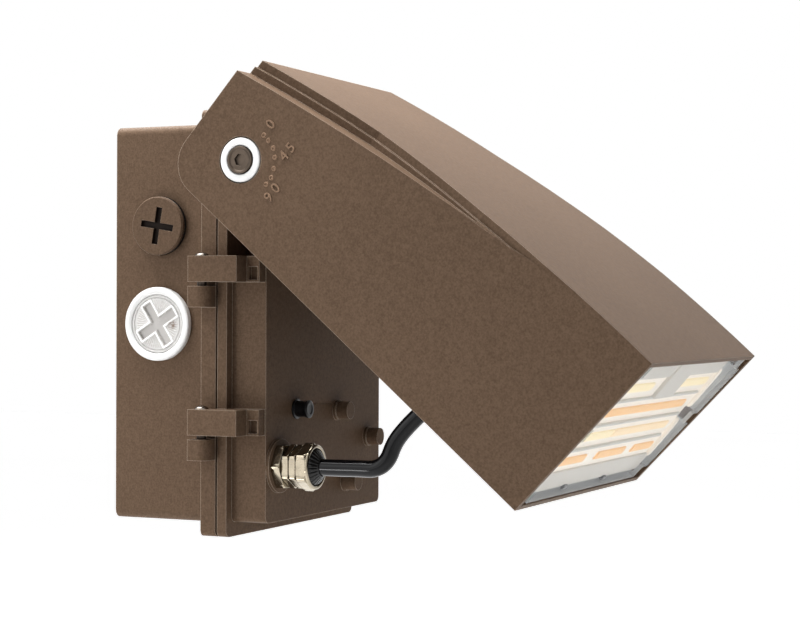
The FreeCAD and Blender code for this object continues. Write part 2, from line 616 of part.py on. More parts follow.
def led_driver():
    body = new_body("led_driver")
    low, high = minus("driver_z + driver_height / 2"), minus("driver_z - driver_height / 2")
    case = rectangle("driver_x - driver_width / 2", low, "driver_x + driver_width / 2", high)
    pad(body, front, [case], "post_top - driver_thick", "post_top")
    tab = rectangle("driver_x - driver_tab_wide / 2", f"{low} - driver_tab",
                    "driver_x + driver_tab_wide / 2",
                    f"{high} + driver_tab")
    pad(body, front, [tab], "post_top - driver_tab_thick", "post_top")
    pocket(body, front, [circle(x, z, "driver_screw_radius + screw_fit") for x, z in driver_screw_places()],
           "post_top - driver_tab_thick - 1", "post_top + 1")
    return keep(body, "led_driver")


def driver_screws():
    """Screws from inside the box into the posts of the cover."""
    body = new_body("driver_screws")
    seat = "post_top - driver_tab_thick"
    places = driver_screw_places()
    pad(body, front, [circle(x, z, "driver_screw_head_radius") for x, z in places],
        f"{seat} - driver_screw_head",
        seat)
    pad(body, front, [circle(x, z, "driver_screw_radius") for x, z in places], seat,
        f"{seat} + driver_screw_long")
    return keep(body, "driver_screws")


# --- cable gland -------------------------------------------------------------------------------------------


def gland_axis():
    return minus("gland_x"), minus("gland_z")


def gland_body():
    body = new_body("gland_body")
    seat = "platform_front + gland_boss"
    pad(body, front, [circle(*gland_axis(), "gland_thread_radius")], f"{seat} - gland_thread", seat)
    pad(body, front, [hexagon(*gland_axis(), "gland_flats")], seat, f"{seat} + gland_hex")
    collar = hexagon(*gland_axis(), "gland_flats - 2 * gland_collar_inset", 30)
    ring = "(gland_collar / 2 - gland_groove)"
    for low in (f"{seat} + gland_hex", f"{seat} + gland_hex + {ring} + gland_groove"):
        pad(body, front, [collar], low, f"{low} + {ring}")
        pad(body, front, [circle(*gland_axis(), "gland_thread_radius")], f"{low} + {ring}",
            f"{low} + {ring} + gland_groove")
    pocket(body, front, [circle(*gland_axis(), "gland_bore_radius")], f"{seat} - gland_thread - 1",
           f"{seat} + gland_hex + gland_collar + 1")
    return keep(body, "gland_body")


def gland_nut():
    """The clamping nut: a hexagon, then a barrel with a lip, open at the mouth for the rubber."""
    body = new_body("gland_nut")
    seat = "platform_front + gland_boss + gland_hex + gland_collar"
    lip = f"{seat} + gland_nut_hex + gland_barrel - gland_lip"
    pad(body, front, [hexagon(*gland_axis(), "gland_flats", 30)], seat, f"{seat} + gland_nut_hex")
    pad(body, front, [circle(*gland_axis(), "gland_barrel_radius")], f"{seat} + gland_nut_hex", lip)
    pad(body, front, [circle(*gland_axis(), "gland_barrel_radius - gland_lip / 2")], lip,
        f"{lip} + gland_lip")
    pocket(body, front, [circle(*gland_axis(), "gland_bore_radius")], f"{seat} - 1",
           f"{seat} + gland_nut_hex + gland_barrel + 1")
    pocket(body, front, [circle(*gland_axis(), "gland_mouth_radius")],
           f"{seat} + gland_nut_hex + gland_barrel - gland_mouth_deep",
           f"{seat} + gland_nut_hex + gland_barrel + 1")
    return keep(body, "gland_nut")


def gland_seal():
    """The rubber that the nut squeezes round the cable: a sleeve with a wide end that fills the mouth."""
    body = new_body("gland_seal")
    seat = "platform_front + gland_boss + gland_hex + gland_collar"
    mouth = f"{seat} + gland_nut_hex + gland_barrel"
    pad(body, front, [circle(*gland_axis(), "gland_bore_radius"), circle(*gland_axis(), "cable_radius")],
        f"{seat} - gland_collar", f"{mouth} + gland_rise + gland_relief")
    pad(body, front, [circle(*gland_axis(), "gland_mouth_radius"), circle(*gland_axis(), "cable_radius")],
        f"{mouth} - gland_mouth_deep", f"{mouth} - gland_lip")
    return keep(body, "gland_seal")


def gland_locknut():
    body = new_body("gland_locknut")
    seat = "platform_front - platform_wall"
    ring = [circle(*gland_axis(), "gland_locknut_radius"),
            circle(*gland_axis(), "gland_thread_radius + screw_fit")]
    pad(body, front, ring, f"{seat} - gland_locknut", seat)
    return keep(body, "gland_locknut")


# --- yoke and pivots ---------------------------------------------------------------------------------------


def pivot_circle(radius):
    return circle(minus("pivot_depth"), "pivot_z", radius)


def tilt_yoke():
    """A plate screwed to the cover, with a hub at each side that the head turns on."""
    body = new_body("tilt_yoke")
    plate = rounded(minus("yoke_width / 2"), "yoke_low", "yoke_width / 2", "yoke_high", "rim_round")
    pad(body, front, [plate], "cover_front", "cover_front + yoke_base")
    for low, high in mirrored("hub_inner", "web_outer"):
        web = rectangle(low, "pivot_z - hub_radius", high, "pivot_z + hub_radius")
        pad(body, front, [web], "cover_front", "pivot_depth")
    for low, high in mirrored("hub_inner", "hub_face"):
        pad(body, side, [pivot_circle("hub_radius")], low, high)
    for low, high in mirrored("hub_face - pivot_thread", "hub_face + 1"):
        pocket(body, side, [pivot_circle("pivot_radius")], low, high)
    pocket(body, front, yoke_holes("yoke_screw_radius + pivot_gap"), "cover_front - 1",
           "cover_front + yoke_base + 1")
    return keep(body, "tilt_yoke")


def yoke_screws():
    body = new_body("yoke_screws")
    places = [(step[0][1], step[0][2]) for step in yoke_holes("yoke_screw_radius")]
    round_screw(body, places, "yoke_screw_radius", "yoke_screw_head_radius", "cover_front + yoke_base",
                "yoke_screw_head", "yoke_screw_long - 0.5")
    return keep(body, "yoke_screws")


def tooth_washers():
    """Steel washers with locking teeth, one on each hub."""
    body = new_body("tooth_washers")
    for low, high in mirrored("hub_face", "hub_face + tooth_washer"):
        pad(body, side, [pivot_circle("tooth_washer_radius"), pivot_circle("pivot_radius + pivot_gap")],
            low, high)
    return keep(body, "tooth_washers")


def pivot_screws():
    """A screw through each cheek into the hub, with its head inside the white ring."""
    body = new_body("pivot_screws")
    for low, high in mirrored("hub_face - pivot_thread + 1", "screw_seat"):
        pad(body, side, [pivot_circle("pivot_radius")], low, high)
    for low, high in mirrored("screw_seat", "screw_seat + pivot_head"):
        pad(body, side, [pivot_circle("pivot_head_radius")], low, high)
    socket = hexagon(minus("pivot_depth"), "pivot_z", "pivot_socket_flats")
    for low, high in mirrored("screw_seat + pivot_head - pivot_socket_deep", "screw_seat + pivot_head + 1"):
        pocket(body, side, [socket], low, high)
    return keep(body, "pivot_screws")


def pivot_rings():
    """White rings let into the cheeks, each with a floor that the screw clamps."""
    body = new_body("pivot_rings")
    face = "head_width / 2 + pivot_ring_proud"
    for low, high in mirrored("ring_floor", face):
        pad(body, side, [circle("0", "0", "pivot_ring_radius")], low, high)
    for low, high in mirrored("ring_floor + pivot_ring_floor", f"{face} + 1"):
        pocket(body, side, [circle("0", "0", "pivot_head_radius + pivot_gap")], low, high)
    for low, high in mirrored("ring_floor - 1", f"{face} + 1"):
        pocket(body, side, [circle("0", "0", "pivot_radius + pivot_fit")], low, high)
    return keep(on_head(body), "pivot_rings")


# --- lamp head ---------------------------------------------------------------------------------------------


def head_shell():
    """The cheeks' outline from side to side, before it is hollowed."""
    body = new_body("head_shell")
    outline = [
        ("to", minus("head_reach"), minus("head_below")),
        ("to", minus(front_at("cheek_join_rise")), "cheek_join_rise"),
        ("to", minus("cheek_join_reach"), "cheek_join_rise"),
        ("to", minus("cheek_mid_reach"), "cheek_mid_rise"),
        ("arc", "head_back", "cheek_back_rise", "cheek_radius", 1),
        ("to", "head_back", "heel_radius - head_below"),
        ("arc", "head_back - heel_radius", minus("head_below"), "heel_radius", 1),
    ]
    pad(body, side, [outline], minus("head_width / 2"), "head_width / 2")
    return body


def crown(name, lower, half_back, half_flare, join_reach):
    """A layer of the arched top: its side view and its plan, which flares out to the full width."""
    profile = new_body(f"{name}_profile")
    front_rise = f"crown_front_rise - {lower}"
    outline = [
        ("to", minus("head_reach"), minus("head_below")),
        ("to", minus(front_at(front_rise)), front_rise),
        ("arc", "head_back", f"crown_back_rise - {lower}", "crown_radius", 1),
        ("to", "head_back", "0"),
    ]
    pad(profile, side, [outline], minus("head_width / 2"), "head_width / 2")
    plan = new_body(f"{name}_plan")
    half = [(half_back, "head_back"), (half_back, minus("crown_straight")),
            (half_flare, minus("crown_flare_reach")), ("head_width / 2", minus(join_reach)),
            ("head_width / 2", minus("head_reach + head_lean + 1"))]
    left = [(minus(x), y) for x, y in reversed(half)]
    pad(plan, top, [polygon(*half, *left)], minus("head_below + 1"), "crown_front_rise + crown_step")
    layer = doc.addObject("Part::Common", name)
    layer.Base = profile
    layer.Tool = plan
    return layer


def head_hollows():
    """The open hood, the hollow under the crown and the lamp compartment."""
    hood = new_body("hood_hollow")
    past = "head_back + past_end"
    deep = minus("head_below + past_end")
    pad(hood, side, [polygon((past, deep), (minus("bulkhead_back"), deep),
                             (minus("bulkhead_back"), "crown_front_rise - roof_wall"),
                             (minus("cheek_mid_reach"), "cheek_mid_rise - cheek_wall"),
                             (past, "cheek_back_rise - cheek_wall - past_end * end_slope"))],
        minus("cheek_inner"), "cheek_inner")
    under = new_body("crown_hollow")
    pad(under, side, [[("to", past, "0"), ("to", minus("bulkhead_back"), "0"),
                       ("to", minus("bulkhead_back"), "crown_front_rise - crown_skin"),
                       ("arc", past, "crown_back_rise - crown_skin - past_end * end_slope", "crown_radius",
                        1)]],
        minus("head_width / 2 - crown_inset - crown_side"), "head_width / 2 - crown_inset - crown_side")
    lamp = new_body("lamp_hollow")
    beyond = minus("head_reach + past_end")
    pad(lamp, side, [rectangle(beyond, "lamp_low", minus("spreader_back"), "lamp_high")], minus("lamp_half"),
        "lamp_half")
    return [hood, under, lamp]


def head_housing():
    outside = doc.addObject("Part::MultiFuse", "head_outside")
    half = "head_width / 2 - crown_inset"
    outside.Shapes = [
        head_shell(),
        crown("crown_step_layer", "crown_step", f"{half} + crown_step_width",
              "head_width / 2 - crown_flare_inset / 2", "cheek_mid_reach"),
        crown("crown_top_layer", "0", half, "head_width / 2 - crown_flare_inset", "cheek_join_reach"),
    ]
    hollows = doc.addObject("Part::MultiFuse", "head_inside")
    hollows.Shapes = head_hollows()
    hood = doc.addObject("Part::Cut", "head_hood")
    hood.Base = outside
    hood.Tool = hollows
    bosses = new_body("pivot_bosses")
    for low, high in mirrored("cheek_inner - pivot_boss", "cheek_inner + 0.5"):
        pad(bosses, side, [circle("0", "0", "pivot_boss_radius")], low, high)
    wireway = new_body("wireway")
    back = minus("entry_reach - wireway_end")
    end = minus("bulkhead_back + 0.5")
    pad(wireway, side,
        [polygon((back, "wireway_low"), (end, "wireway_low"), (end, "crown_front_rise - crown_skin / 2"),
                                (back, "wireway_low + wireway_rise"))],
        minus("entry_x + wireway_width / 2"), minus("entry_x - wireway_width / 2"))
    filled = doc.addObject("Part::MultiFuse", "head_filled")
    filled.Shapes = [hood, bosses, wireway]
    bores = new_body("head_bores")
    for low, high in mirrored("cheek_inner - pivot_boss - 1", "head_width / 2 + 1"):
        pad(bores, side, [circle("0", "0", "pivot_radius + pivot_fit")], low, high)
    for low, high in mirrored("ring_floor", "head_width / 2 + 1"):
        pad(bores, side, [circle("0", "0", "pivot_ring_radius + pivot_ring_fit")], low, high)
    wire_z = "wireway_low + wireway_end / 2"
    pad(bores, front, [circle(minus("entry_x"), wire_z, "wire_radius")], "entry_reach", "spreader_back + 1")
    pad(bores, top, [circle(minus("entry_x"), minus("entry_reach"), "entry_thread_radius")],
        "wireway_low - 1", wire_z)
    housing = doc.addObject("Part::Cut", "head_housing")
    housing.Base = filled
    housing.Tool = bores
    return keep(on_head(housing), "head_housing")


def head_gland():
    """The strain relief under the wireway, where the cable goes in."""
    body = new_body("head_gland")
    axis = (minus("entry_x"), minus("entry_reach"))
    pad(body, top, [circle(*axis, "entry_thread_radius")], "wireway_low",
        "wireway_low + wireway_end / 2 - 0.5")
    pad(body, top, [hexagon(*axis, "entry_radius * 1.8")], "entry_high", "wireway_low")
    pad(body, top, [circle(*axis, "entry_radius * 0.8")], "entry_tip", "entry_high")
    return keep(on_head(body), "head_gland")


# --- light engine ------------------------------------------------------------------------------------------


def at_lamp(above):
    """A height measured from the head's lower edge, as one above the pivot."""
    return f"(({above}) - head_below)"


def notch_places():
    """Where the screws hold the lens: along both sides, near the corners and half way up."""
    sides = ("lamp_half - notch_inset", minus("lamp_half - notch_inset"))
    heights = ("lamp_low + notch_inset", "(lamp_low + lamp_high) / 2", "lamp_high - notch_inset")
    return [(across, height) for across in sides for height in heights]


def engine_rectangle(inset):
    half = f"lamp_half - ({inset})"
    return rectangle(minus(half), f"lamp_low + {inset}", half, f"lamp_high - ({inset})")


def heat_spreader():
    body = new_body("heat_spreader")
    pad(body, front, [engine_rectangle("engine_fit")], "spreader_back", "spreader_front")
    table = rectangle(minus("board_half - 2"), f"{at_lamp('board_low')} + 1", "board_half - 2",
                      f"{at_lamp('board_high')} - 1")
    pad(body, front, [table], "spreader_front", "board_back")
    pocket(body, front, [circle(x, z, "engine_screw_radius + screw_fit") for x, z in notch_places()],
           "spreader_front - engine_screw_long", "spreader_front + 1")
    pocket(body, front, [circle(minus("entry_x"), "wireway_low + wireway_end / 2", "wire_radius")],
           "spreader_back - 1", "board_back + 1")
    return keep(on_head(body), "heat_spreader")


def engine_screws():
    body = new_body("engine_screws")
    places = notch_places()
    pad(body, front, [circle(x, z, "engine_screw_radius") for x, z in places],
        "spreader_front - engine_screw_long + 0.5", "spreader_front")
    pad(body, front, [circle(x, z, "engine_screw_head_radius") for x, z in places], "spreader_front",
        "spreader_front + engine_screw_head")
    return keep(on_head(body), "engine_screws")


def led_board():
    body = new_body("led_board")
    board = rectangle(minus("board_half"), at_lamp("board_low"), "board_half", at_lamp("board_high"))
    pad(body, front, [board], "board_back", "board_front")
    notches = [rectangle(f"({x}) - notch_size / 2", f"({z}) - notch_size / 2", f"({x}) + notch_size / 2",
                         f"({z}) + notch_size / 2") for x, z in notch_places()]
    pocket(body, front, notches, "board_back - 1", "board_front + 1")
    return keep(on_head(body), "led_board")


def strip(row, left, right):
    middle = at_lamp(f"row_1 + row_pitch * {row}")
    return rectangle(left, f"{middle} - strip_high / 2", right, f"{middle} + strip_high / 2")


def cool_strips():
    """Pale yellow strips: the third row whole, and the top row in two pieces beside the tab."""
    body = new_body("cool_strips")
    strips = [strip(1, minus("strip_end"), "strip_end"),
              strip(3, minus("strip_end"), minus("strip_gap * 1.6")),
              strip(3, "strip_gap * 1.6", "strip_end")]
    pad(body, front, strips, "board_front", "board_front + strip_thick")
    return keep(on_head(body), "cool_strips")


def warm_strips():
    """Amber strips: the second row whole, and the lowest row in three pieces."""
    body = new_body("warm_strips")
    third = "(2 * strip_end - 2 * strip_gap) / 3"
    strips = [strip(2, minus("strip_end"), "strip_end")]
    for number in range(3):
        left = f"{number} * ({third} + strip_gap) - strip_end"
        strips.append(strip(0, left, f"{left} + {third}"))
    pad(body, front, strips, "board_front", "board_front + strip_thick")
    return keep(on_head(body), "warm_strips")


def row_ribs():
    """Grey ribs between the rows of strips."""
    body = new_body("row_ribs")
    ribs = []
    for row in range(3):
        middle = at_lamp(f"row_1 + row_pitch * {row + 0.5}")
        ribs.append(rectangle(minus("strip_end"), f"{middle} - rib_thick / 2", "strip_end",
                              f"{middle} + rib_thick / 2"))
    pad(body, front, ribs, "board_front", "board_front + rib_high")
    return keep(on_head(body), "row_ribs")


def engine_seal():
    body = new_body("engine_seal")
    pad(body, front, [engine_rectangle("engine_fit"), engine_rectangle("engine_fit + engine_seal_width")],
        "spreader_front", "seal_front")
    pocket(body, front, notch_squares(), "spreader_front - 1", "seal_front + 1")
    return keep(on_head(body), "engine_seal")


def notch_squares():
    """Square notches that run out past the nearest side edge."""
    squares = []
    for x, z in notch_places():
        squares.append(rectangle(f"({x}) - notch_size", f"({z}) - notch_size / 2", f"({x}) + notch_size",
                                 f"({z}) + notch_size / 2"))
    return squares


def lens():
    """A clear tray: a leaning front plate with a skirt back to the seal, notched at the screws."""
    body = new_body("lens")
    low, high = "lamp_low + engine_fit", "lamp_high - engine_fit"
    half = "lamp_half - engine_fit"
    outside = polygon((minus("seal_front"), low), (minus(f"{front_at(low)} - lens_setback"), low),
                      (minus(f"{front_at(high)} - lens_setback"), high), (minus("seal_front"), high))
    pad(body, side, [outside], minus(half), half)
    low_in, high_in = f"{low} + lens_skirt", f"{high} - lens_skirt"
    behind = "lens_setback + lens_thick"
    inside = polygon((minus("seal_front - 1"), low_in), (minus(f"{front_at(low_in)} - ({behind})"), low_in),
                     (minus(f"{front_at(high_in)} - ({behind})"), high_in),
                     (minus("seal_front - 1"), high_in))
    pocket(body, side, [inside], minus(f"{half} - lens_skirt"), f"{half} - lens_skirt")
    notches = []
    for x, z in notch_places():
        notches.append(rectangle(f"({x}) - notch_size / 2", f"({z}) - notch_size / 2",
                                 f"({x}) + notch_size / 2", f"({z}) + notch_size / 2"))
    pocket(body, front, notches, "seal_front - 1", "head_reach + head_lean + 1")
    return keep(on_head(body), "lens")


# --- cable -------------------------------------------------------------------------------------------------
# It leaves the gland straight, turns up in a tight bend, and runs in an easy S inside the hood to the head's
# strain relief.

# points across, out and up from the mouth of the gland
cable_from_gland = [
    (0.0, 0.0, 0.0), (0.0, 9.0, 0.0), (0.0, 18.1, 0.2), (0.0, 28.0, 0.0), (0.2, 33.7, 4.2),
    (0.5, 36.6, 12.4),
    (0.9, 42.7, 19.8), (1.4, 51.3, 27.8),
]
# points across, out along the head and up across it, from the strain relief
cable_in_head = [
    (-6.5, 71.5, -50.5), (-5.8, 66.0, -38.4), (-5.0, 55.2, -31.4), (-4.0, 43.0, -30.8), (-3.0, 31.0, -31.6),
    (-1.6, 18.2, -29.8), (-0.5, 6.9, -23.4), (0.0, 0.0, -13.0), (0.0, 0.0, 0.0),
]


def cable_points():
    out = value("platform_front + gland_boss + gland_hex + gland_collar + gland_nut_hex + gland_barrel"
                " + gland_rise")
    points = [Vector(x - value("gland_x"), -y - out, z - value("gland_z")) for x, y, z in cable_from_gland]
    tilted = Placement(Vector(0, -value("pivot_depth"), value("pivot_z")),
                       Rotation(Vector(1, 0, 0), value("tilt")))
    entry = (value("entry_x"), value("entry_reach"), value("entry_tip"))
    for x, y, z in cable_in_head:
        points.append(tilted.multVec(Vector(x - entry[0], -y - entry[1], z + entry[2])))
    return points


def smooth_path(points):
    """Straight runs joined by tangent arcs, each as large as its two runs allow."""
    edges = []
    last = points[0]
    for before, corner, after in zip(points, points[1:], points[2:]):
        back, ahead = before - corner, after - corner
        turn = math.pi - back.getAngle(ahead)
        shorter = min(back.Length, ahead.Length)
        radius = 0.45 * shorter / math.tan(turn / 2)
        print(f"cable bend: radius {radius:.1f} mm, turn {math.degrees(turn):.0f} deg, run {shorter:.1f} mm")
        start = corner + back.normalize() * (0.45 * shorter)
        stop = corner + ahead.normalize() * (0.45 * shorter)
        inward = (back + ahead).normalize()
        middle = corner + inward * (radius / math.cos(turn / 2) - radius)
        edges.append(Part.LineSegment(last, start).toShape())
        edges.append(Part.Arc(start, middle, stop).toShape())
        last = stop
    edges.append(Part.LineSegment(last, points[-1]).toShape())
    return Part.Wire(edges)


def head_cable():
    points = cable_points()
    path = smooth_path(points)
    radius = value("cable_radius")
    ring = Part.Wire(Part.makeCircle(radius, points[0], points[1] - points[0]))
    sweep = Part.BRepOffsetAPI.MakePipeShell(path)
    sweep.add(ring)
    sweep.build()
    sweep.makeSolid()
    item = doc.addObject("Part::Feature", "head_cable")
    item.Shape = sweep.shape()
    ideal = math.pi * radius ** 2 * path.Length
    print(f"cable length {path.Length:.1f} mm, volume {item.Shape.Volume:.0f} of {ideal:.0f} mm3")
    return keep(item, "head_cable")


# --- build and write ---------------------------------------------------------------------------------------

for build in (back_box, box_seal, hinge_pins, ground_screw, terminal_block, plug_seal, conduit_plug,
              photocell_ring, photocell_cap, photocell_cell, photocell_nut, front_cover, cover_screws,
              breather_vent, led_driver, driver_screws, gland_body, gland_nut, gland_seal, gland_locknut,
              tilt_yoke, yoke_screws, tooth_washers, pivot_screws, pivot_rings, head_housing, head_gland,
              heat_spreader, engine_screws, led_board, cool_strips, warm_strips, row_ribs, engine_seal, lens,
              head_cable):
    build()

doc.recompute()

for item in doc.Objects:
    if "Invalid" in item.State or "Error" in item.State:
        raise RuntimeError(f"{item.Label} did not build: {item.State}")
for base, feature in cuts:
    if feature.Shape.Volume > base.Shape.Volume - 0.01:
        raise RuntimeError(f"{feature.Name} cuts nothing")
for item in subparts:
    if item.Shape.isNull() or not item.Shape.isValid() or item.Shape.Volume <= 0:
        raise RuntimeError(f"{item.Label} has no valid solid")

os.makedirs("parts", exist_ok=True)
for item in subparts:
    item.Shape.exportStep(f"parts/{item.Label}.step")
    print(f"{item.Label}: {len(item.Shape.Solids)} solid(s), {item.Shape.Volume / 1000:.2f} cm3")
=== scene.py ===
import math

import bmesh
import bpy
import numpy
from mathutils import Matrix, Vector


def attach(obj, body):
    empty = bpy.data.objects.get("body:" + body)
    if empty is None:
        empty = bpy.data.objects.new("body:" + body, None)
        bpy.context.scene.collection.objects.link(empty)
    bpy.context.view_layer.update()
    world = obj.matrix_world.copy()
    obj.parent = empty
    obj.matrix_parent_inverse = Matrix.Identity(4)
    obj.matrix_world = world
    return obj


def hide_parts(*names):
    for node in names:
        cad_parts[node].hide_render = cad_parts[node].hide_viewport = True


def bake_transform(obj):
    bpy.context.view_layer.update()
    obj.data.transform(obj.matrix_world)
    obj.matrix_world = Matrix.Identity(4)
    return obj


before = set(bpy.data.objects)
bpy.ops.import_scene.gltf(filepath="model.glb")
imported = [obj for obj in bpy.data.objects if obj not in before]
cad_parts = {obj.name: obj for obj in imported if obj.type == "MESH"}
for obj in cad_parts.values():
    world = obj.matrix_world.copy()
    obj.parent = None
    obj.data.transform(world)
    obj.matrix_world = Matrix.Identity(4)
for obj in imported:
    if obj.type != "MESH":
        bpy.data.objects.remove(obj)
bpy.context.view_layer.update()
print("frame loaded:", len(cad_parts), "nodes")

camera = {
    "place": (-0.8491, -0.5062, 0.0053),
    "heading": 24.42,   # degrees from +X towards +Y
    "pitch": -0.01,
    "roll": 0.2,
    "lens": 87.9,       # with the sensor's width, in millimetres
    "sensor": 36,
}
millimetre = 0.001


# forward comes from the heading and the pitch, and the roll then turns right and up round it
def addCamera():
    heading, pitch, roll = (math.radians(camera[key]) for key in ("heading", "pitch", "roll"))
    ahead = math.cos(pitch)
    forward = Vector((math.cos(heading) * ahead, math.sin(heading) * ahead, math.sin(pitch)))
    level = Vector((math.sin(heading), -math.cos(heading), 0))
    upright = level.cross(forward)
    right = level * math.cos(roll) + upright * math.sin(roll)
    up = upright * math.cos(roll) - level * math.sin(roll)
    data = bpy.data.cameras.new("photoCamera")
    data.lens, data.sensor_width = camera["lens"], camera["sensor"]
    data.clip_start, data.clip_end = 0.01, 100
    item = bpy.data.objects.new("photoCamera", data)
    turn = Matrix((right, up, -forward)).transposed()
    item.matrix_world = Matrix.Translation(camera["place"]) @ turn.to_4x4()
    bpy.context.scene.collection.objects.link(item)
    bpy.context.scene.camera = item


addCamera()


# a mesh object from points and faces, smooth but for edges sharper than an angle
def linkMesh(name, points, faces, sharp=40):
    mesh = bpy.data.meshes.new(name)
    mesh.from_pydata(points, [], faces)
    item = bpy.data.objects.new(name, mesh)
    bpy.context.scene.collection.objects.link(item)
    tidyMesh(mesh)
    shade(mesh, sharp)
    return item


# points that meet are joined, faces without area go, and the rest are turned outwards
def tidyMesh(mesh):
    weld = 1e-7   # metres
    work = bmesh.new()
    work.from_mesh(mesh)
    bmesh.ops.remove_doubles(work, verts=work.verts, dist=weld)
    bmesh.ops.dissolve_degenerate(work, edges=work.edges, dist=weld)
    bmesh.ops.recalc_face_normals(work, faces=work.faces)
    work.to_mesh(mesh)
    work.free()


def shade(mesh, sharp):
    mesh.shade_smooth()
    mesh.set_sharp_from_angle(angle=math.radians(sharp))


# faces between neighbouring rows and columns; the columns close on themselves, and the rows where they loop
def gridFaces(rows, columns, loopRows):
    row = numpy.arange(rows if loopRows else rows - 1)[:, None]
    column = numpy.arange(columns)[None, :]
    nextRow, nextColumn = (row + 1) % rows, (column + 1) % columns
    corners = [row * columns + column, row * columns + nextColumn, nextRow * columns + nextColumn,
               nextRow * columns + column]
    return numpy.stack(corners, axis=-1).reshape(-1, 4)


# one piece from a grid of points, or from several grids of the same size
def gridPiece(name, points, loopRows=False, sharp=40):
    rows, columns = points.shape[-3:-1]
    grids = points.reshape(-1, rows * columns, 3)
    first = numpy.arange(len(grids))[:, None, None] * rows * columns   # the number of each grid's first point
    faces = gridFaces(rows, columns, loopRows)[None] + first
    return linkMesh(name, grids.reshape(-1, 3).tolist(), faces.reshape(-1, 4).tolist(), sharp)


# millimetre points (across, up, out) put on a face of the light, given by its origin and two directions
def onFace(face, points):
    origin, across, up = (numpy.array(part, float) for part in faces[face])
    out = numpy.cross(across, up)
    points = numpy.asarray(points, float) * millimetre
    return origin + points[..., 0:1] * across + points[..., 1:2] * up + points[..., 2:3] * out


tilt = math.radians(41)
outward = (0, -math.cos(tilt), -math.sin(tilt))   # along the head, away from the wall
rising = (0, -math.sin(tilt), math.cos(tilt))     # square to it, towards the arched top
headOrigin = (0, -0.0801, 0.0731)
faces = {
    "plug": ((-0.060, -0.0249, 0.0453), (0, -1, 0), (0, 0, 1)),
    "photocell": ((-0.060, -0.0240, -0.0006), (0, -1, 0), (0, 0, 1)),
    "breather": ((-0.031, -0.0812, -0.0404), (1, 0, 0), (0, 0, 1)),
    "gland": ((-0.0485, -0.0827, -0.0660), (1, 0, 0), (0, 0, 1)),
    "pins": ((-0.0713, -0.0533, 0), (1, 0, 0), (0, 1, 0)),
    "leftCheek": ((-0.084, -0.0801, 0.0731), outward, rising),
    "rightCheek": ((0.084, -0.0801, 0.0731), tuple(-step for step in outward), rising),
}


# millimetre points (across, out along the head, up across it) put on the head
def onHead(points):
    points = numpy.asarray(points, float) * millimetre
    return (numpy.array(headOrigin) + points[..., 0:1] * numpy.array((1.0, 0, 0))
            + points[..., 1:2] * numpy.array(outward) + points[..., 2:3] * numpy.array(rising))


# each profile point (radius, height) swept round the height axis: x = radius cos, y = radius sin
def turned(profile, steps):
    profile = numpy.array(profile, float)
    angle = numpy.linspace(0, 2 * math.pi, steps, endpoint=False)[None, :]
    radius, height = profile[:, 0:1], profile[:, 1:2]
    return numpy.stack([radius * numpy.cos(angle), radius * numpy.sin(angle), height + 0 * angle], axis=-1)


# a profile's corners replaced by short arcs: quadratic curves between points that lie a cut before and after
# each corner
def eased(profile, cut, steps=4):
    profile = numpy.array(profile, float)
    before, corner, after = profile[:-2], profile[1:-1], profile[2:]
    back, ahead = before - corner, after - corner
    backLong = numpy.linalg.norm(back, axis=1, keepdims=True)
    aheadLong = numpy.linalg.norm(ahead, axis=1, keepdims=True)
    start = corner + back / backLong * numpy.minimum(cut, backLong * 0.45)
    stop = corner + ahead / aheadLong * numpy.minimum(cut, aheadLong * 0.45)
    share = numpy.linspace(0, 1, steps + 1)[None, :, None]
    curve = (start[:, None] * (1 - share) ** 2 + 2 * corner[:, None] * share * (1 - share)
             + stop[:, None] * share ** 2)
    return numpy.concatenate([profile[:1], curve.reshape(-1, 2), profile[-1:]])


# one row of a piece with flats: a circle where no flats are given; ridge is the height of a screw thread
def row(height, radius, flats=99.0, turn=0.0, ridge=0.0):
    return (height, radius, flats, turn, ridge)


# rows swept round an axis: radius = flats / 2 / cos(angle from the nearest flat), no more than the row's own
# radius, plus a thread = ridge sin(2 pi height / pitch - angle)
def faceted(rows, steps=240, pitch=1.5):
    height, limit, flats, turn, ridge = numpy.array(rows, float).T[..., None]
    angle = numpy.linspace(0, 2 * math.pi, steps, endpoint=False)[None, :]
    side = (angle - numpy.radians(turn) + math.pi / 6) % (math.pi / 3) - math.pi / 6
    radius = numpy.minimum(flats / 2 / numpy.cos(side), limit)
    radius = radius + ridge * numpy.sin(2 * math.pi * height / pitch - angle)
    return numpy.stack([radius * numpy.cos(angle), radius * numpy.sin(angle), height + 0 * angle], axis=-1)


# a power that keeps the sign
def power(value, exponent):
    return numpy.sign(value) * numpy.abs(value) ** exponent


# a rounded bar between two corners: x = a cos(s)^ends, y = b sin(s)^ends cos(t)^sides,
# z = c sin(s)^ends sin(t)^sides
def bar(low, high, ends, sides, rows, columns):
    low, high = numpy.array(low, float), numpy.array(high, float)
    middle, half = (low + high) / 2, (high - low) / 2
    along = numpy.linspace(0, math.pi, rows)[:, None]
    around = numpy.linspace(0, 2 * math.pi, columns, endpoint=False)[None, :]
    ring = power(numpy.sin(along), ends)
    points = [half[0] * power(numpy.cos(along), ends) + 0 * around,
              half[1] * ring * power(numpy.cos(around), sides),
              half[2] * ring * power(numpy.sin(around), sides)]
    return numpy.stack(points, axis=-1) + middle


# a smooth step from 0 at low to 1 at high
def ramp(value, low, high):
    share = numpy.clip((value - low) / (high - low), 0, 1)
    return share * share * (3 - 2 * share)


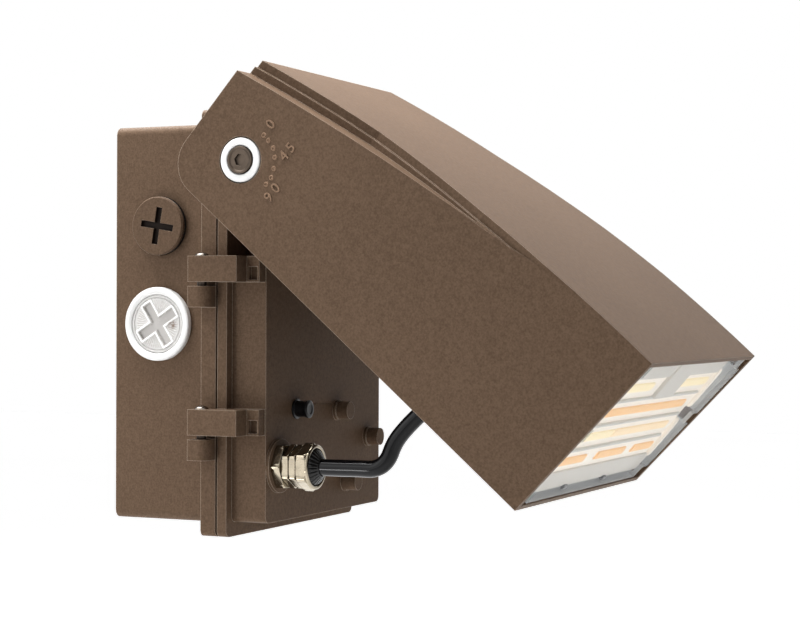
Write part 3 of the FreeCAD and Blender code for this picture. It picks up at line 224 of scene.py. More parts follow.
# the cable runs from the gland, round a tight bend and inside the hood, to the head's strain relief
cable = {
    "diameter": 0.0078,
    "route": [
        (-0.0485, -0.1033, -0.0660), (-0.0485, -0.1123, -0.0660), (-0.0485, -0.1214, -0.0658),
        (-0.0485, -0.1313, -0.0660), (-0.0483, -0.1370, -0.0618), (-0.0480, -0.1399, -0.0536),
        (-0.0476, -0.1460, -0.0462), (-0.0471, -0.1546, -0.0382), (-0.0465, -0.1646, -0.0302),
        (-0.0458, -0.1684, -0.0174), (-0.0450, -0.1648, -0.0050), (-0.0440, -0.1560, 0.0034),
        (-0.0430, -0.1464, 0.0107), (-0.0416, -0.1379, 0.0204), (-0.0405, -0.1336, 0.0327),
        (-0.0400, -0.1352, 0.0451), (-0.0400, -0.1438, 0.0549),
    ],
}


# the route made smooth: points along a spline of order 3 that starts and stops at its ends
def splinePoints(name, route):
    curve = bpy.data.curves.new(name, "CURVE")
    curve.dimensions = "3D"
    curve.resolution_u = 12
    spline = curve.splines.new("NURBS")
    spline.points.add(len(route) - 1)
    spline.points.foreach_set("co", numpy.column_stack([route, numpy.ones(len(route))]).ravel())
    spline.order_u = 3
    spline.use_endpoint_u = True
    item = bpy.data.objects.new(name, curve)
    bpy.context.scene.collection.objects.link(item)
    bpy.context.view_layer.update()
    line = bpy.data.meshes.new_from_object(item.evaluated_get(bpy.context.evaluated_depsgraph_get()))
    points = numpy.empty(len(line.vertices) * 3)
    line.vertices.foreach_get("co", points)
    bpy.data.objects.remove(item)
    return points.reshape(-1, 3)


# a ring of points carried along the path: each ring is square to the path, its first side kept level across
def tube(name, path, radius, around=32):
    way = numpy.gradient(path, axis=0)
    way /= numpy.linalg.norm(way, axis=1, keepdims=True)
    level = numpy.array((1.0, 0, 0)) - way[:, 0:1] * way
    level /= numpy.linalg.norm(level, axis=1, keepdims=True)
    other = numpy.cross(way, level)
    angle = numpy.linspace(0, 2 * math.pi, around, endpoint=False)[None, :, None]
    rings = path[:, None] + radius * (numpy.cos(angle) * level[:, None] + numpy.sin(angle) * other[:, None])
    ends = [numpy.repeat(path[place][None, None], around, axis=1) for place in (0, -1)]
    return gridPiece(name, numpy.concatenate([ends[0], rings, ends[1]]))


cablePath = splinePoints("cableRoute", cable["route"])
headCable = tube("headCable", cablePath, cable["diameter"] / 2)


# a number socket that can be used in sums: every operator adds a Math node
class Number:
    def __init__(self, finish, socket):
        self.finish, self.socket = finish, socket

    def maths(self, operation, first, second=0.0, clamp=False):
        return self.finish.maths(operation, first, second, clamp)

    def __add__(self, other):
        return self.maths("ADD", self, other)

    __radd__ = __add__

    def __sub__(self, other):
        return self.maths("SUBTRACT", self, other)

    def __rsub__(self, other):
        return self.maths("SUBTRACT", other, self)

    def __mul__(self, other):
        return self.maths("MULTIPLY", self, other)

    __rmul__ = __mul__

    def __truediv__(self, other):
        return self.maths("DIVIDE", self, other)

    def __pow__(self, other):
        return self.maths("POWER", self, other)

    def __gt__(self, other):
        return self.maths("GREATER_THAN", self, other)

    def __lt__(self, other):
        return self.maths("LESS_THAN", self, other)

    def clamped(self):
        return self.maths("ADD", self, 0.0, clamp=True)

    def wave(self):
        return self.maths("SINE", self)


# a material being made: node() adds any node, sets it, and joins its sockets
class Finish:
    def __init__(self, name):
        self.material = bpy.data.materials.new(name)
        self.material.use_nodes = True
        self.tree = self.material.node_tree
        self.tree.nodes.clear()

    def node(self, kind, settings=None, values=None, output=0):
        made = self.tree.nodes.new(kind)
        for key, value in (settings or {}).items():
            setattr(made, key, value)
        for key, value in (values or {}).items():
            if isinstance(value, Number):
                self.tree.links.new(value.socket, made.inputs[key])
            else:
                made.inputs[key].default_value = value
        return Number(self, made.outputs[output]) if made.outputs else None

    def maths(self, operation, first, second=0.0, clamp=False):
        settings = {"operation": operation, "use_clamp": clamp}
        return self.node("ShaderNodeMath", settings, {0: first, 1: second})

    # a number worked out from two vectors
    def vector(self, operation, first, second):
        values = {0: first, 1: second}
        return self.node("ShaderNodeVectorMath", {"operation": operation}, values, output="Value")

    def noise(self, scale, detail, rough=0.5):
        spot = self.node("ShaderNodeTexCoord", output="Object")
        values = {"Vector": spot, "Scale": scale, "Detail": detail, "Roughness": rough}
        return self.node("ShaderNodeTexNoise", values=values)

    # one coordinate of the object's own space, in metres
    def coordinate(self, letter):
        spot = self.node("ShaderNodeTexCoord", output="Object")
        return self.node("ShaderNodeSeparateXYZ", values={"Vector": spot}, output=letter)

    # 1 within a distance of a place, falling to 0 over the soft edge
    def near(self, place, reach, soft):
        spot = self.node("ShaderNodeTexCoord", output="Object")
        return ((reach - self.vector("DISTANCE", spot, place)) / soft + 0.5).clamped()

    def mix(self, share, first, second):
        values = {"Factor": share, 6: first, 7: second}
        return self.node("ShaderNodeMix", {"data_type": "RGBA"}, values, output=2)

    def roundNormal(self, radius):
        return self.node("ShaderNodeBevel", {"samples": 6}, {"Radius": radius})

    # how much the rounded normal turns away from the face: 0 on flats and 1 on sharp edges
    def edges(self, rounded, gain):
        flat = self.node("ShaderNodeNewGeometry", output="Normal")
        return ((1 - self.vector("DOT_PRODUCT", rounded, flat)) * gain).clamped()

    def bump(self, height, strength, distance, normal=None):
        values = {"Height": height, "Strength": strength, "Distance": distance}
        if normal is not None:
            values["Normal"] = normal
        return self.node("ShaderNodeBump", values=values)

    def surface(self, values):
        return self.finish(self.node("ShaderNodeBsdfPrincipled", values=values))

    def finish(self, shader):
        self.node("ShaderNodeOutputMaterial", values={"Surface": shader})
        return self.material


def rgb(red, green, blue):
    return (red, green, blue, 1.0)


def toned(color, tone):
    return tuple(part * tone for part in color[:3]) + (1.0,)


coat = {
    "light": rgb(0.142, 0.092, 0.060),
    "dark": rgb(0.100, 0.063, 0.040),
    # colour of the painted highlight along edges, then how steeply and how much of it is mixed in
    "edge": rgb(0.52, 0.42, 0.33),
    "edgeHighlightGain": 3.2, "edgeHighlightShare": 0.9,
    "drift": 14.0,       # scales of the noises, from slow to fine
    "coarse": 495.0,
    "grain": 1100.0,
    "grainDeep": 0.00010,
    "rough": 0.50,
    "gloss": 0.05,
    "round": 0.0006,
}
# painted shade in the plug's cross slot: the slot's floor and walls are coloured almost black, where shade
# falls
plugSlotShade = {
    "middle": (-0.0625, -0.0249, 0.0453),
    "reach": 0.0108, "soft": 0.0004,
    "deeper": -0.0641,   # X past which a point lies in the slot
    "color": rgb(0.012, 0.008, 0.006),
}


# fine sprayed powder: colour = small grains over slow drifts, with a painted highlight along the edges,
# lighter where the rounded normal leaves the face, and painted shade in a slot where one is given; height =
# two sizes of grain
def powderCoat(name, tone=1.0, rough=0.0, round=coat["round"], slot=None):
    made = Finish(name)
    drift = made.noise(coat["drift"], 3.0)
    grain = made.noise(coat["grain"], 2.0, 0.6)
    coarse = made.noise(coat["coarse"], 1.0)
    shade = ((drift - 0.5) * 0.7 + (grain - 0.5) * 2.6 + (coarse - 0.5) * 1.2 + 0.5).clamped()
    rounded = made.roundNormal(round)
    edges = made.edges(rounded, coat["edgeHighlightGain"]) * coat["edgeHighlightShare"]
    color = made.mix(shade, toned(coat["dark"], tone), toned(coat["light"], tone))
    # painted highlight: edges are mixed towards the light edge colour, as if they caught the light
    color = made.mix(edges, color, toned(coat["edge"], tone))
    # painted shade: inside the slot the colour goes near black
    if slot:
        inside = made.near(slot["middle"], slot["reach"], slot["soft"])
        color = made.mix(inside * (made.coordinate("X") > slot["deeper"]), color, slot["color"])
    return made.surface({
        "Base Color": color,
        "Roughness": ((grain - 0.5) * 0.3 + coat["rough"] + rough).clamped(),
        "Specular IOR Level": coat["gloss"],
        "Normal": made.bump(grain * 0.6 + coarse * 0.4, 0.9, coat["grainDeep"], rounded),
    })


# jacket: near-black glossy PVC; colour and roughness follow fine scuffs, height a faint slow wave
def cableJacket():
    made = Finish("cableJacket")
    scuff = made.noise(260.0, 3.0, 0.7)
    wave = made.noise(60.0, 2.0)
    return made.surface({
        "Base Color": made.mix(scuff, rgb(0.002, 0.002, 0.0025), rgb(0.005, 0.005, 0.006)),
        "Roughness": scuff * 0.04 + 0.07,
        "Specular IOR Level": 0.16,
        "Normal": made.bump(wave, 0.2, 0.0002),
    })


# moulded rubber: colour and roughness follow a slow bloom, height a fine skin
def rubber(name, rough=0.55, base=0.012):
    made = Finish(name)
    skin = made.noise(900.0, 3.0)
    bloom = made.noise(90.0, 2.0)
    return made.surface({
        "Base Color": made.mix(bloom, rgb(base, base, base), rgb(base * 2.4, base * 2.3, base * 2.2)),
        "Roughness": (bloom * 0.2 + rough - 0.1).clamped(),
        "Specular IOR Level": 0.25,
        "Normal": made.bump(skin, 0.25, 0.00005, made.roundNormal(0.0003)),
    })


# plated or bare metal: colour and roughness follow cloudy tarnish, height the finest turning marks
def metal(name, color, rough, marks=0.2, round=0.0003):
    made = Finish(name)
    cloud = made.noise(180.0, 3.0, 0.6)
    fine = made.noise(2600.0, 2.0, 0.6)
    return made.surface({
        "Base Color": made.mix(((cloud - 0.42) * 3).clamped(), color, toned(color, 0.75)),
        "Metallic": 1.0,
        "Roughness": ((cloud - 0.5) * 0.2 + (fine - 0.5) * 0.15 + rough).clamped(),
        "Normal": made.bump(fine, marks, 0.00003, made.roundNormal(round)),
    })


# moulded plastic: colour = soft mottling, roughness follows it, height a fine skin; light gives it a painted
# glow, though it is no lamp
def plastic(name, color, rough=0.35, mottle=0.06, skin=0.15, light=0.0, gloss=0.4):
    made = Finish(name)
    cloud = made.noise(120.0, 3.0)
    fine = made.noise(1800.0, 2.0)
    values = {
        "Base Color": made.mix(cloud, toned(color, 1 - mottle), color),
        "Roughness": (cloud - 0.5) * 0.15 + rough,
        "Specular IOR Level": gloss,
        "Normal": made.bump(fine, skin, 0.00004, made.roundNormal(0.0003)),
    }
    if light:
        values["Emission Color"] = color
        values["Emission Strength"] = light
    return made.surface(values)


# clear plastic: see-through, with gloss = how far the face turns from view, cubed, and frosted where the face
# is a wall, square to the head's outward line; height = faint flow marks
def clearPlastic(name, tint, gloss, frost):
    made = Finish(name)
    flow = made.noise(70.0, 2.0)
    normal = made.bump(flow, 0.08, 0.0002)
    clear = made.node("ShaderNodeBsdfTransparent", values={"Color": tint})
    skin = made.node("ShaderNodeBsdfPrincipled", values={
        "Base Color": made.mix(flow, rgb(0.70, 0.73, 0.75), rgb(0.80, 0.82, 0.83)),
        "Roughness": flow * 0.04 + 0.03,
        "Normal": normal,
    })
    facing = made.node("ShaderNodeLayerWeight", values={"Blend": 0.5, "Normal": normal}, output="Facing")
    side = made.node("ShaderNodeTexCoord", output="Normal")   # in the piece's own space, for any pose
    along = made.vector("DOT_PRODUCT", side, outward)
    share = (facing ** 3.0 * gloss + (along * along < 0.5) * frost).clamped()
    return made.finish(made.node("ShaderNodeMixShader", values={0: share, 1: clear, 2: skin}))


capLook = {
    "middle": (-0.0624, -0.0240, -0.0006),
    "spokes": 58.0, "wander": 5.0,              # how many round the middle, and how far noise bends them
    "spokesFrom": 0.0035, "spokesTo": 0.0110,   # distances from the middle, in metres
    # X past which the face gets a painted highlight (whiter), then X past which it gets painted shade
    # (greyer)
    "raised": -0.06255, "sunk": -0.0620,        # X past which the face is whiter, and greyer
    "cell": (-0.0624, -0.0320, -0.0008), "cellReach": 0.0020,
}


# the sensor cap: milky clear plastic with fine spokes in its quarters, a wave of the angle round the middle
# that noise breaks up, a painted highlight (whiter) where it is raised, painted shade (greyer) where it is
# sunk, and the brown cell as a spot
def sensorCap():
    made = Finish("sensorCap")
    middle = capLook["middle"]
    streaks = made.noise(520.0, 3.0, 0.7)
    angle = made.maths("ARCTAN2", made.coordinate("Z") - middle[2], middle[1] - made.coordinate("Y"))
    spokes = ((angle * capLook["spokes"] + streaks * capLook["wander"]).wave() * 0.5 + 0.5) ** 2.0
    spokes = spokes * made.near(middle, capLook["spokesTo"], 0.0012)
    spokes = spokes * (1 - made.near(middle, capLook["spokesFrom"], 0.0015))
    milk = made.mix((streaks - 0.2).clamped(), rgb(0.60, 0.585, 0.57), rgb(0.78, 0.77, 0.755))
    color = made.mix(spokes * 0.5, milk, rgb(0.36, 0.31, 0.27))
    out = made.coordinate("X")
    # painted highlight on the raised parts and painted shade on the sunk parts, set by height along X
    color = made.mix(((capLook["raised"] - out) * 9000.0).clamped(), color, rgb(0.97, 0.97, 0.96))
    color = made.mix(((out - capLook["sunk"]) * 4000.0).clamped(), color, rgb(0.50, 0.48, 0.46))
    spot = made.near(capLook["cell"], capLook["cellReach"], 0.0020) * ((streaks - 0.3) * 3).clamped()
    return made.surface({
        "Base Color": made.mix(spot, color, rgb(0.15, 0.08, 0.04)),
        "Roughness": streaks * 0.2 + 0.15,
        "Specular IOR Level": 0.5,
        "Normal": made.bump(streaks, 0.25, 0.0001),
    })


# phosphor strip: a milky bead, its colour mottled by dies that show through as a row, a wave along the strip,
# and a faint painted glow of its own colour
def phosphor(name, color, pale, light=0.26):
    made = Finish(name)
    dies = ((made.coordinate("X") * 2100.0).wave() * 0.5 + 0.5) ** 6.0
    cloud = made.noise(300.0, 2.0)
    return made.surface({
        "Base Color": made.mix((dies * 0.35 + (cloud - 0.5) * 0.5).clamped(), color, pale),
        "Roughness": cloud * 0.1 + 0.4,
        "Specular IOR Level": 0.05,
        "Emission Color": color,
        "Emission Strength": light,
        "Normal": made.bump(cloud, 0.2, 0.0002),
    })


finishes = {
    "bronze": powderCoat("bronzeCoat"),
    # painted highlight: the dial's raised dots and numbers take the coat at 1.9 times its tone, lighter as if
    # they caught the light
    "litDialBronze": powderCoat("litDialBronze", 1.9, -0.2, 0.00010),
    "plugBronze": powderCoat("plugBronze", 0.92, -0.08, 0.0003, plugSlotShade),
    # painted shade: the yoke takes the coat at 0.55 of its tone, darker as it sits in shade between the
    # head's cheeks
    "shadedBronze": powderCoat("shadedBronze", 0.55),
    "jacket": cableJacket(),
    "rubber": rubber("sealRubber"),
    "shinyRubber": rubber("shinyRubber", 0.22, 0.006),
    "nickel": metal("warmNickel", rgb(0.31, 0.27, 0.205), 0.17),
    "steel": metal("brightSteel", rgb(0.26, 0.23, 0.20), 0.24),
    "shaft": metal("pinShaft", rgb(0.07, 0.055, 0.045), 0.4),
    "zinc": metal("zincSteel", rgb(0.62, 0.62, 0.62), 0.34),
    "brass": metal("brassScrew", rgb(0.80, 0.60, 0.28), 0.25),
    "screwBronze": metal("screwBronze", rgb(0.070, 0.054, 0.042), 0.42, 0.4),
    "white": plastic("whiteNylon", rgb(0.86, 0.86, 0.85), 0.4, 0.03),
    "cream": plastic("creamBlock", rgb(0.78, 0.74, 0.62), 0.4),
    "black": plastic("blackNylon", rgb(0.010, 0.010, 0.011), 0.3, 0.3, gloss=0.22),
    "cell": plastic("sensorCell", rgb(0.28, 0.17, 0.09), 0.4, 0.4),
    "driver": metal("driverCase", rgb(0.66, 0.66, 0.65), 0.42, 0.3, 0.0008),
    # painted glow: the spreader, board, rib and tab plastics and the phosphor strips below glow faintly,
    # which brightens the light engine behind the lens
    "spreader": plastic("spreaderPaint", rgb(0.50, 0.49, 0.46), 0.4, 0.08, light=0.4, gloss=0.05),
    "board": plastic("boardMask", rgb(0.88, 0.79, 0.67), 0.35, 0.04, light=0.26, gloss=0.05),
    "rib": plastic("ribGrey", rgb(0.60, 0.57, 0.51), 0.4, 0.1, light=0.12, gloss=0.05),
    "tab": plastic("tabGrey", rgb(0.52, 0.48, 0.42), 0.45, 0.08, light=0.25, gloss=0.05),
    "cool": phosphor("coolPhosphor", rgb(0.98, 0.80, 0.46), rgb(0.98, 0.86, 0.58)),
    "warm": phosphor("warmPhosphor", rgb(0.92, 0.51, 0.18), rgb(0.94, 0.61, 0.29)),
    "peach": phosphor("peachPhosphor", rgb(0.95, 0.70, 0.40), rgb(0.96, 0.78, 0.52)),
    "lens": clearPlastic("clearLens", rgb(0.985, 0.99, 0.995), 0.2, 0.6),
    "cap": sensorCap(),
}
print("finishes made:", len(finishes))


# gives a piece its finish and its body, and hides the solids that it stands for; the slot is not used
def dress(item, finish, body, slot, *nodes):
    item.data.materials.clear()
    item.data.materials.append(finishes[finish])
    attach(item, body)
    if nodes:
        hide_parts(*nodes)
    return item


headCable.data.materials.append(finishes["jacket"])
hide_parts("head_cable")
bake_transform(headCable)

castings = [
    # name, solid, finish, body, slot, round in metres (0 leaves the rounding to the material)
    ("headCasting", "head_housing", "bronze", "head", "bronze_coat", 0),
    ("coverCasting", "front_cover", "bronze", "cover", "bronze_coat", 0),
    ("boxCasting", "back_box", "bronze", "box", "bronze_coat", 0),
    # the yoke's darker coat is painted shade
    ("yokeCasting", "tilt_yoke", "shadedBronze", "cover", "dark_coat", 0),
    ("lensTray", "lens", "lens", "head", "clear_lens", 0.0003),
]
casting = {
    "weld": 2e-6,        # metres
    "flatAngle": 0.05,   # degrees between faces that are joined
    "sharp": 35,         # degrees past which an edge stays sharp
    "flat": 2.5e-5,      # faces with more square metres than this are flats
}


# the solid's loose triangles are merged and its flats joined; a width cuts every sharp edge by a small round
def castCopy(name, node, width):
    work = bmesh.new()
    work.from_mesh(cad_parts[node].data)
    bmesh.ops.remove_doubles(work, verts=work.verts, dist=casting["weld"])
    bmesh.ops.dissolve_limit(work, angle_limit=math.radians(casting["flatAngle"]), verts=work.verts,
                             edges=work.edges)
    mesh = bpy.data.meshes.new(name)
    work.to_mesh(mesh)
    work.free()
    item = bpy.data.objects.new(name, mesh)
    bpy.context.scene.collection.objects.link(item)
    if width:
        bevel = item.modifiers.new("edgeRound", "BEVEL")
        bevel.width = width
        bevel.segments = 2
        bevel.limit_method = "ANGLE"
        bevel.angle_limit = math.radians(casting["sharp"])
    shade(mesh, casting["sharp"])
    return item


crown = {
    "radius": 900.0,   # of both layers of the arched top, in millimetres, between these ends (out, up)
    "arcs": [((202.5, 58.8), (-27.6, 36.9)), ((202.32, 54.9), (-27.6, 33.0))],
    "near": 0.03,      # how far from an arc a point may lie, and how well a face must agree with it
    "agree": 0.99,
}


# the middle of a circle through both ends, on the left of the way from start to stop
def arcMiddle(start, stop, radius):
    start, stop = numpy.array(start), numpy.array(stop)
    chord = stop - start
    long = numpy.linalg.norm(chord)
    square = numpy.array((-chord[1], chord[0])) / long
    return (start + stop) / 2 + square * math.sqrt(radius ** 2 - (long / 2) ** 2)


# one value of every corner, face or point of a mesh, as an array
def readMesh(items, key, wide, kind=float):
    values = numpy.empty(len(items) * wide, kind)
    items.foreach_get(key, values)
    return values.reshape(-1, wide) if wide > 1 else values


# every corner of a large flat takes that flat's normal, so no shade runs over it; corners of faces that lie
# on an arc take its true normal, (point - middle of the arc) / radius
def castNormals(item, arcs):
    mesh = item.data
    corners = readMesh(mesh.loops, "vertex_index", 1, int)
    sizes = readMesh(mesh.polygons, "loop_total", 1, int)
    starts = readMesh(mesh.polygons, "loop_start", 1, int)
    owner = numpy.repeat(numpy.arange(len(sizes)), sizes)
    facing = readMesh(mesh.polygons, "normal", 3)
    normals = readMesh(mesh.corner_normals, "vector", 3)
    large = (readMesh(mesh.polygons, "area", 1) > casting["flat"])[owner]
    normals[large] = facing[owner][large]
    points = (readMesh(mesh.vertices, "co", 3) - numpy.array(headOrigin)) / millimetre
    flat = numpy.column_stack([points @ numpy.array(outward), points @ numpy.array(rising)])
    for start, stop in arcs:
        away = flat - arcMiddle(start, stop, crown["radius"])
        reach = numpy.linalg.norm(away, axis=1)
        on = numpy.abs(reach - crown["radius"]) < crown["near"]
        whole = numpy.bincount(owner, weights=on[corners], minlength=len(sizes)) == sizes
        true = (away[:, 0:1] * numpy.array(outward) + away[:, 1:2] * numpy.array(rising)) / reach[:, None]
        agree = numpy.einsum("ij,ij->i", facing, true[corners[starts]]) > crown["agree"]
        chosen = (whole & agree)[owner]
        normals[chosen] = true[corners[chosen]]
    mesh.normals_split_custom_set(normals.tolist())


for name, node, finish, body, slot, width in castings:
    item = dress(castCopy(name, node, width), finish, body, slot, node)
    if not width:
        castNormals(item, crown["arcs"] if name == "headCasting" else [])
print("castings made:", len(castings))

fineSteps = 440   # round the pieces that have fine spokes or slots

gland = {
    "flats": 19.6,     # of the flange and the nut, in millimetres
    "collarFlats": 17.8,
    "bore": 5.2,
    "groove": 8.1,     # radius between the rings
    "flange": 4.4,     # heights above the boss
    "collars": (4.7, 8.4),
    "top": 12.2,
    "nutStart": 12.35,
    "nutStop": 17.15,
    "end": -8.9,
    "thread": 7.4, "threadDeep": 0.25,
    "ribs": 22, "ribDeep": 0.55, "ribWide": 0.11,
}


# heights run out from the boss: thread below it, flange, two collar rings with grooves, then the bore
def glandBody():
    wide, small, groove = gland["flats"], gland["collarFlats"], gland["groove"]
    flat, top, end = gland["flange"], gland["top"], gland["end"]
    heights = numpy.linspace(end + 0.3, -0.3, 70)
    thread = [row(height, gland["thread"], ridge=gland["threadDeep"]) for height in heights]
    flange = [row(0, 7.6), row(0, 10.5, wide, 30), row(0.4, 11.2, wide, 30), row(flat - 0.4, 11.2, wide, 30),
              row(flat, 10.5, wide, 30), row(flat, groove)]
    rings = []
    for low in gland["collars"]:
        rings += [row(low, groove), row(low, 9.5, small), row(low + 0.35, 10.15, small),
                  row(low + 2.85, 10.15, small), row(low + 3.2, 9.5, small), row(low + 3.2, groove)]
    inside = [row(top, groove), row(top, gland["bore"]), row(end, gland["bore"]), row(end, 6.9)]
    return faceted(thread + flange + rings + inside)


# a hexagon with turned corners, then a round lip that rolls over into the nut
def glandNut():
    wide, start, stop = gland["flats"], gland["nutStart"], gland["nutStop"]
    rows = [row(start, 5.3), row(start, 8.6), row(start, 10.3, wide), row(start + 0.4, 11.1, wide),
            row(stop - 0.5, 11.1, wide), row(stop - 0.1, 10.5, wide), row(stop, 10.15), row(stop + 0.2, 10.4),
            row(stop + 0.65, 10.42), row(stop + 1.05, 10.25), row(stop + 1.3, 9.9), row(stop + 1.38, 9.45),
            row(stop + 1.3, 9.0), row(stop + 1.05, 8.7), row(14.6, 8.65), row(14.5, 5.3)]
    return faceted(rows)


# a rubber dome that rises to the cable, cut by radial slots: height falls by a narrow bell round each slot
def glandSeal():
    outline = eased([(5.15, 12.4), (5.15, 14.7), (8.55, 14.7), (8.5, 17.9), (7.6, 19.0), (6.2, 20.0),
                     (5.0, 20.9), (4.3, 21.4), (3.98, 21.4), (3.95, 12.4)], 0.8, 5)
    points = turned(outline, fineSteps)
    angle = numpy.linspace(0, 2 * math.pi, fineSteps, endpoint=False)[None, :]
    away = (angle * gland["ribs"] / (2 * math.pi) + 0.5) % 1 - 0.5
    height = points[..., 2]
    weight = ramp(height, 17.4, 18.2) * (1 - ramp(height, 20.9, 21.3))
    points[..., 2] = height - gland["ribDeep"] * weight * numpy.exp(-(away / gland["ribWide"]) ** 2)
    return points


dress(gridPiece("glandBody", onFace("gland", glandBody()), loopRows=True, sharp=28), "nickel", "cover",
      "nickel_brass", "gland_body")
dress(gridPiece("glandNut", onFace("gland", glandNut()), loopRows=True, sharp=28), "nickel", "cover",
      "nickel_brass", "gland_nut")
dress(gridPiece("glandSeal", onFace("gland", glandSeal()), loopRows=True, sharp=50), "shinyRubber", "cover",
      "black_rubber", "gland_seal")
print("gland made")

sensor = {
    "ring": 17.3, "ringHigh": 3.4, "inner": 13.85,   # radii and heights in millimetres
    "face": 2.4, "cap": 13.7,
    "armLong": 11.4, "armWide": 2.85, "armDeep": 1.3, "armTurn": -12.5,
    "outline": 0.55,
    "fan": 14, "fanHigh": 0.22,                      # fine ridges in each quarter
    "circle": 12.3, "circleDeep": 0.5,
    "rimStart": 13.2, "rimDrop": 0.4,
    "body": 10.2, "bodyBore": 8.8, "bodyEnd": -12.2,
}


# how far a point lies outside a cross of two arms, turned by 45 degrees and the turn; negative inside it
def crossEdge(across, up, long, wide, turn):
    angle = math.radians(45 + turn)
    first = numpy.abs(across * math.cos(angle) + up * math.sin(angle))
    second = numpy.abs(up * math.cos(angle) - across * math.sin(angle))
    arm, otherArm = numpy.maximum(first - long, second - wide), numpy.maximum(first - wide, second - long)
    return numpy.minimum(arm, otherArm)


# points of a disc, as rings from the middle to its rim
def discGrid(radius, rows=170, columns=fineSteps):
    reach = numpy.linspace(0, radius, rows)[:, None]
    angle = numpy.linspace(0, 2 * math.pi, columns, endpoint=False)[None, :]
    return reach, angle, reach * numpy.cos(angle), reach * numpy.sin(angle)


# height = face, less the cross, which is sunk, plus a raised outline along its edge, a fan of ridges (sine of
# the angle), a groove at the circle and a rounded rim
def sensorFace():
    radius, angle, across, up = discGrid(sensor["cap"])
    edge = crossEdge(across, up, sensor["armLong"], sensor["armWide"], sensor["armTurn"])
    fan = numpy.maximum(numpy.sin(angle * 4 * sensor["fan"]), 0) * ramp(edge, 0.3, 0.8)
    fan = fan * ramp(radius, 2.5, 4.5) * (1 - ramp(radius, 10.6, 11.4))
    height = (sensor["face"] - sensor["armDeep"] * (1 - ramp(edge, -0.9, -0.6))
              + sensor["outline"] * (1 - ramp(numpy.abs(edge), 0.3, 0.65)) + sensor["fanHigh"] * fan
              - sensor["circleDeep"] * (1 - ramp(numpy.abs(radius - sensor["circle"]), 0.1, 0.4))
              - sensor["rimDrop"] * ramp(radius, sensor["rimStart"], sensor["cap"]) ** 2)
    body, bore, end = sensor["body"], sensor["bodyBore"], sensor["bodyEnd"]
    wall = [(sensor["cap"], 0.6), (body, 0.55), (body, end), (bore, end), (bore, 0.3), (0, 0.3)]
    return numpy.concatenate([numpy.stack([across, up, height], axis=-1), turned(wall, fineSteps)])


dress(gridPiece("sensorCap", onFace("photocell", sensorFace()), sharp=60), "cap", "box", "clear_cap",
      "photocell_cap")
sensorRing = eased([(10.6, 0), (17.0, 0), (sensor["ring"], 0.4), (sensor["ring"], 2.8), (16.8, 3.3),
                    (15.3, sensor["ringHigh"]), (14.2, 3.0), (sensor["inner"], 2.6), (sensor["inner"], 0.5),
                    (10.6, 0.5), (10.6, 0)], 0.4)
dress(gridPiece("sensorRing", onFace("photocell", turned(sensorRing, 160)), sharp=50), "white", "box",
      "white_plastic", "photocell_ring")
sensorCell = turned(eased([(0, -0.3), (7.4, -0.3), (7.4, -2.6), (0, -2.6)], 0.4), 96)
dress(gridPiece("sensorCell", onFace("photocell", sensorCell), sharp=50), "cell", "box", "cell",
      "photocell_cell")
print("sensor made")

plug = {
    "disc": 13.7, "high": 4.5, "seal": 2.4,   # in millimetres
    "slotLong": 8.75, "slotWide": 1.6, "slotDeep": 1.8, "slotTurn": -54,
    "rimStart": 12.9, "rimDrop": 0.7,
    "shank": 10.4, "shankEnd": -11.0,
}


# height = top, less the cross slot and a rounded rim; a plain shank goes through the box's side
def plugDisc():
    radius, _, across, up = discGrid(plug["disc"])
    edge = crossEdge(across, up, plug["slotLong"], plug["slotWide"], plug["slotTurn"])
    height = (plug["high"] - plug["slotDeep"] * (1 - ramp(edge, -0.3, 0.0))
              - plug["rimDrop"] * ramp(radius, plug["rimStart"], plug["disc"]) ** 2)
    seal, reach, end = plug["seal"], plug["shank"], plug["shankEnd"]
    shank = [(plug["disc"], seal), (reach, seal), (reach, end + 0.2), (reach - 0.5, end), (0, end)]
    return numpy.concatenate([numpy.stack([across, up, height], axis=-1), turned(shank, fineSteps)])


dress(gridPiece("plugDisc", onFace("plug", plugDisc()), sharp=45), "plugBronze", "box", "bronze_coat",
      "conduit_plug")

# the plug's fat rubber ring bulges between the disc and the box: half an ellipse as high as the seal
bulge = numpy.linspace(-math.pi / 2, math.pi / 2, 14)
half = plug["seal"] / 2
plugRing = numpy.column_stack([12.9 + 0.95 * numpy.cos(bulge), half + half * numpy.sin(bulge)])
plugRing = numpy.concatenate([[(10.7, 0)], plugRing, [(10.7, plug["seal"]), (10.7, 0)]])
dress(gridPiece("plugRing", onFace("plug", turned(plugRing, 120)), sharp=60), "shinyRubber", "box",
      "black_rubber", "plug_seal")

# each pin has a domed head, a quarter ellipse from its rim to its top, on a plain shaft
pins = {"tops": (32.45, -37.75), "length": 25.2, "radius": 2.2, "head": 3.3, "headHigh": 2.1, "dome": 1.7}
arc = numpy.linspace(0, 1.57, 9)
for number, top in enumerate(pins["tops"], 1):
    low, foot, radius, dome = top - pins["headHigh"], top - pins["length"], pins["radius"], pins["dome"]
    domed = numpy.column_stack([pins["head"] * numpy.cos(arc), top - dome + dome * numpy.sin(arc)])
    head = numpy.concatenate([[(0, low), (pins["head"], low)], domed])
    shaft = [(0, foot), (radius - 0.4, foot), (radius, foot + 0.5), (radius, low), (0, low)]
    headPiece = gridPiece(f"hingePinHead{number}", onFace("pins", turned(head, 64)))
    dress(headPiece, "steel", "box", "steel")
    dress(gridPiece(f"hingePinShaft{number}", onFace("pins", turned(shaft, 64))), "shaft", "box", "steel")
    if number == 1:
        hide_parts("hinge_pins")

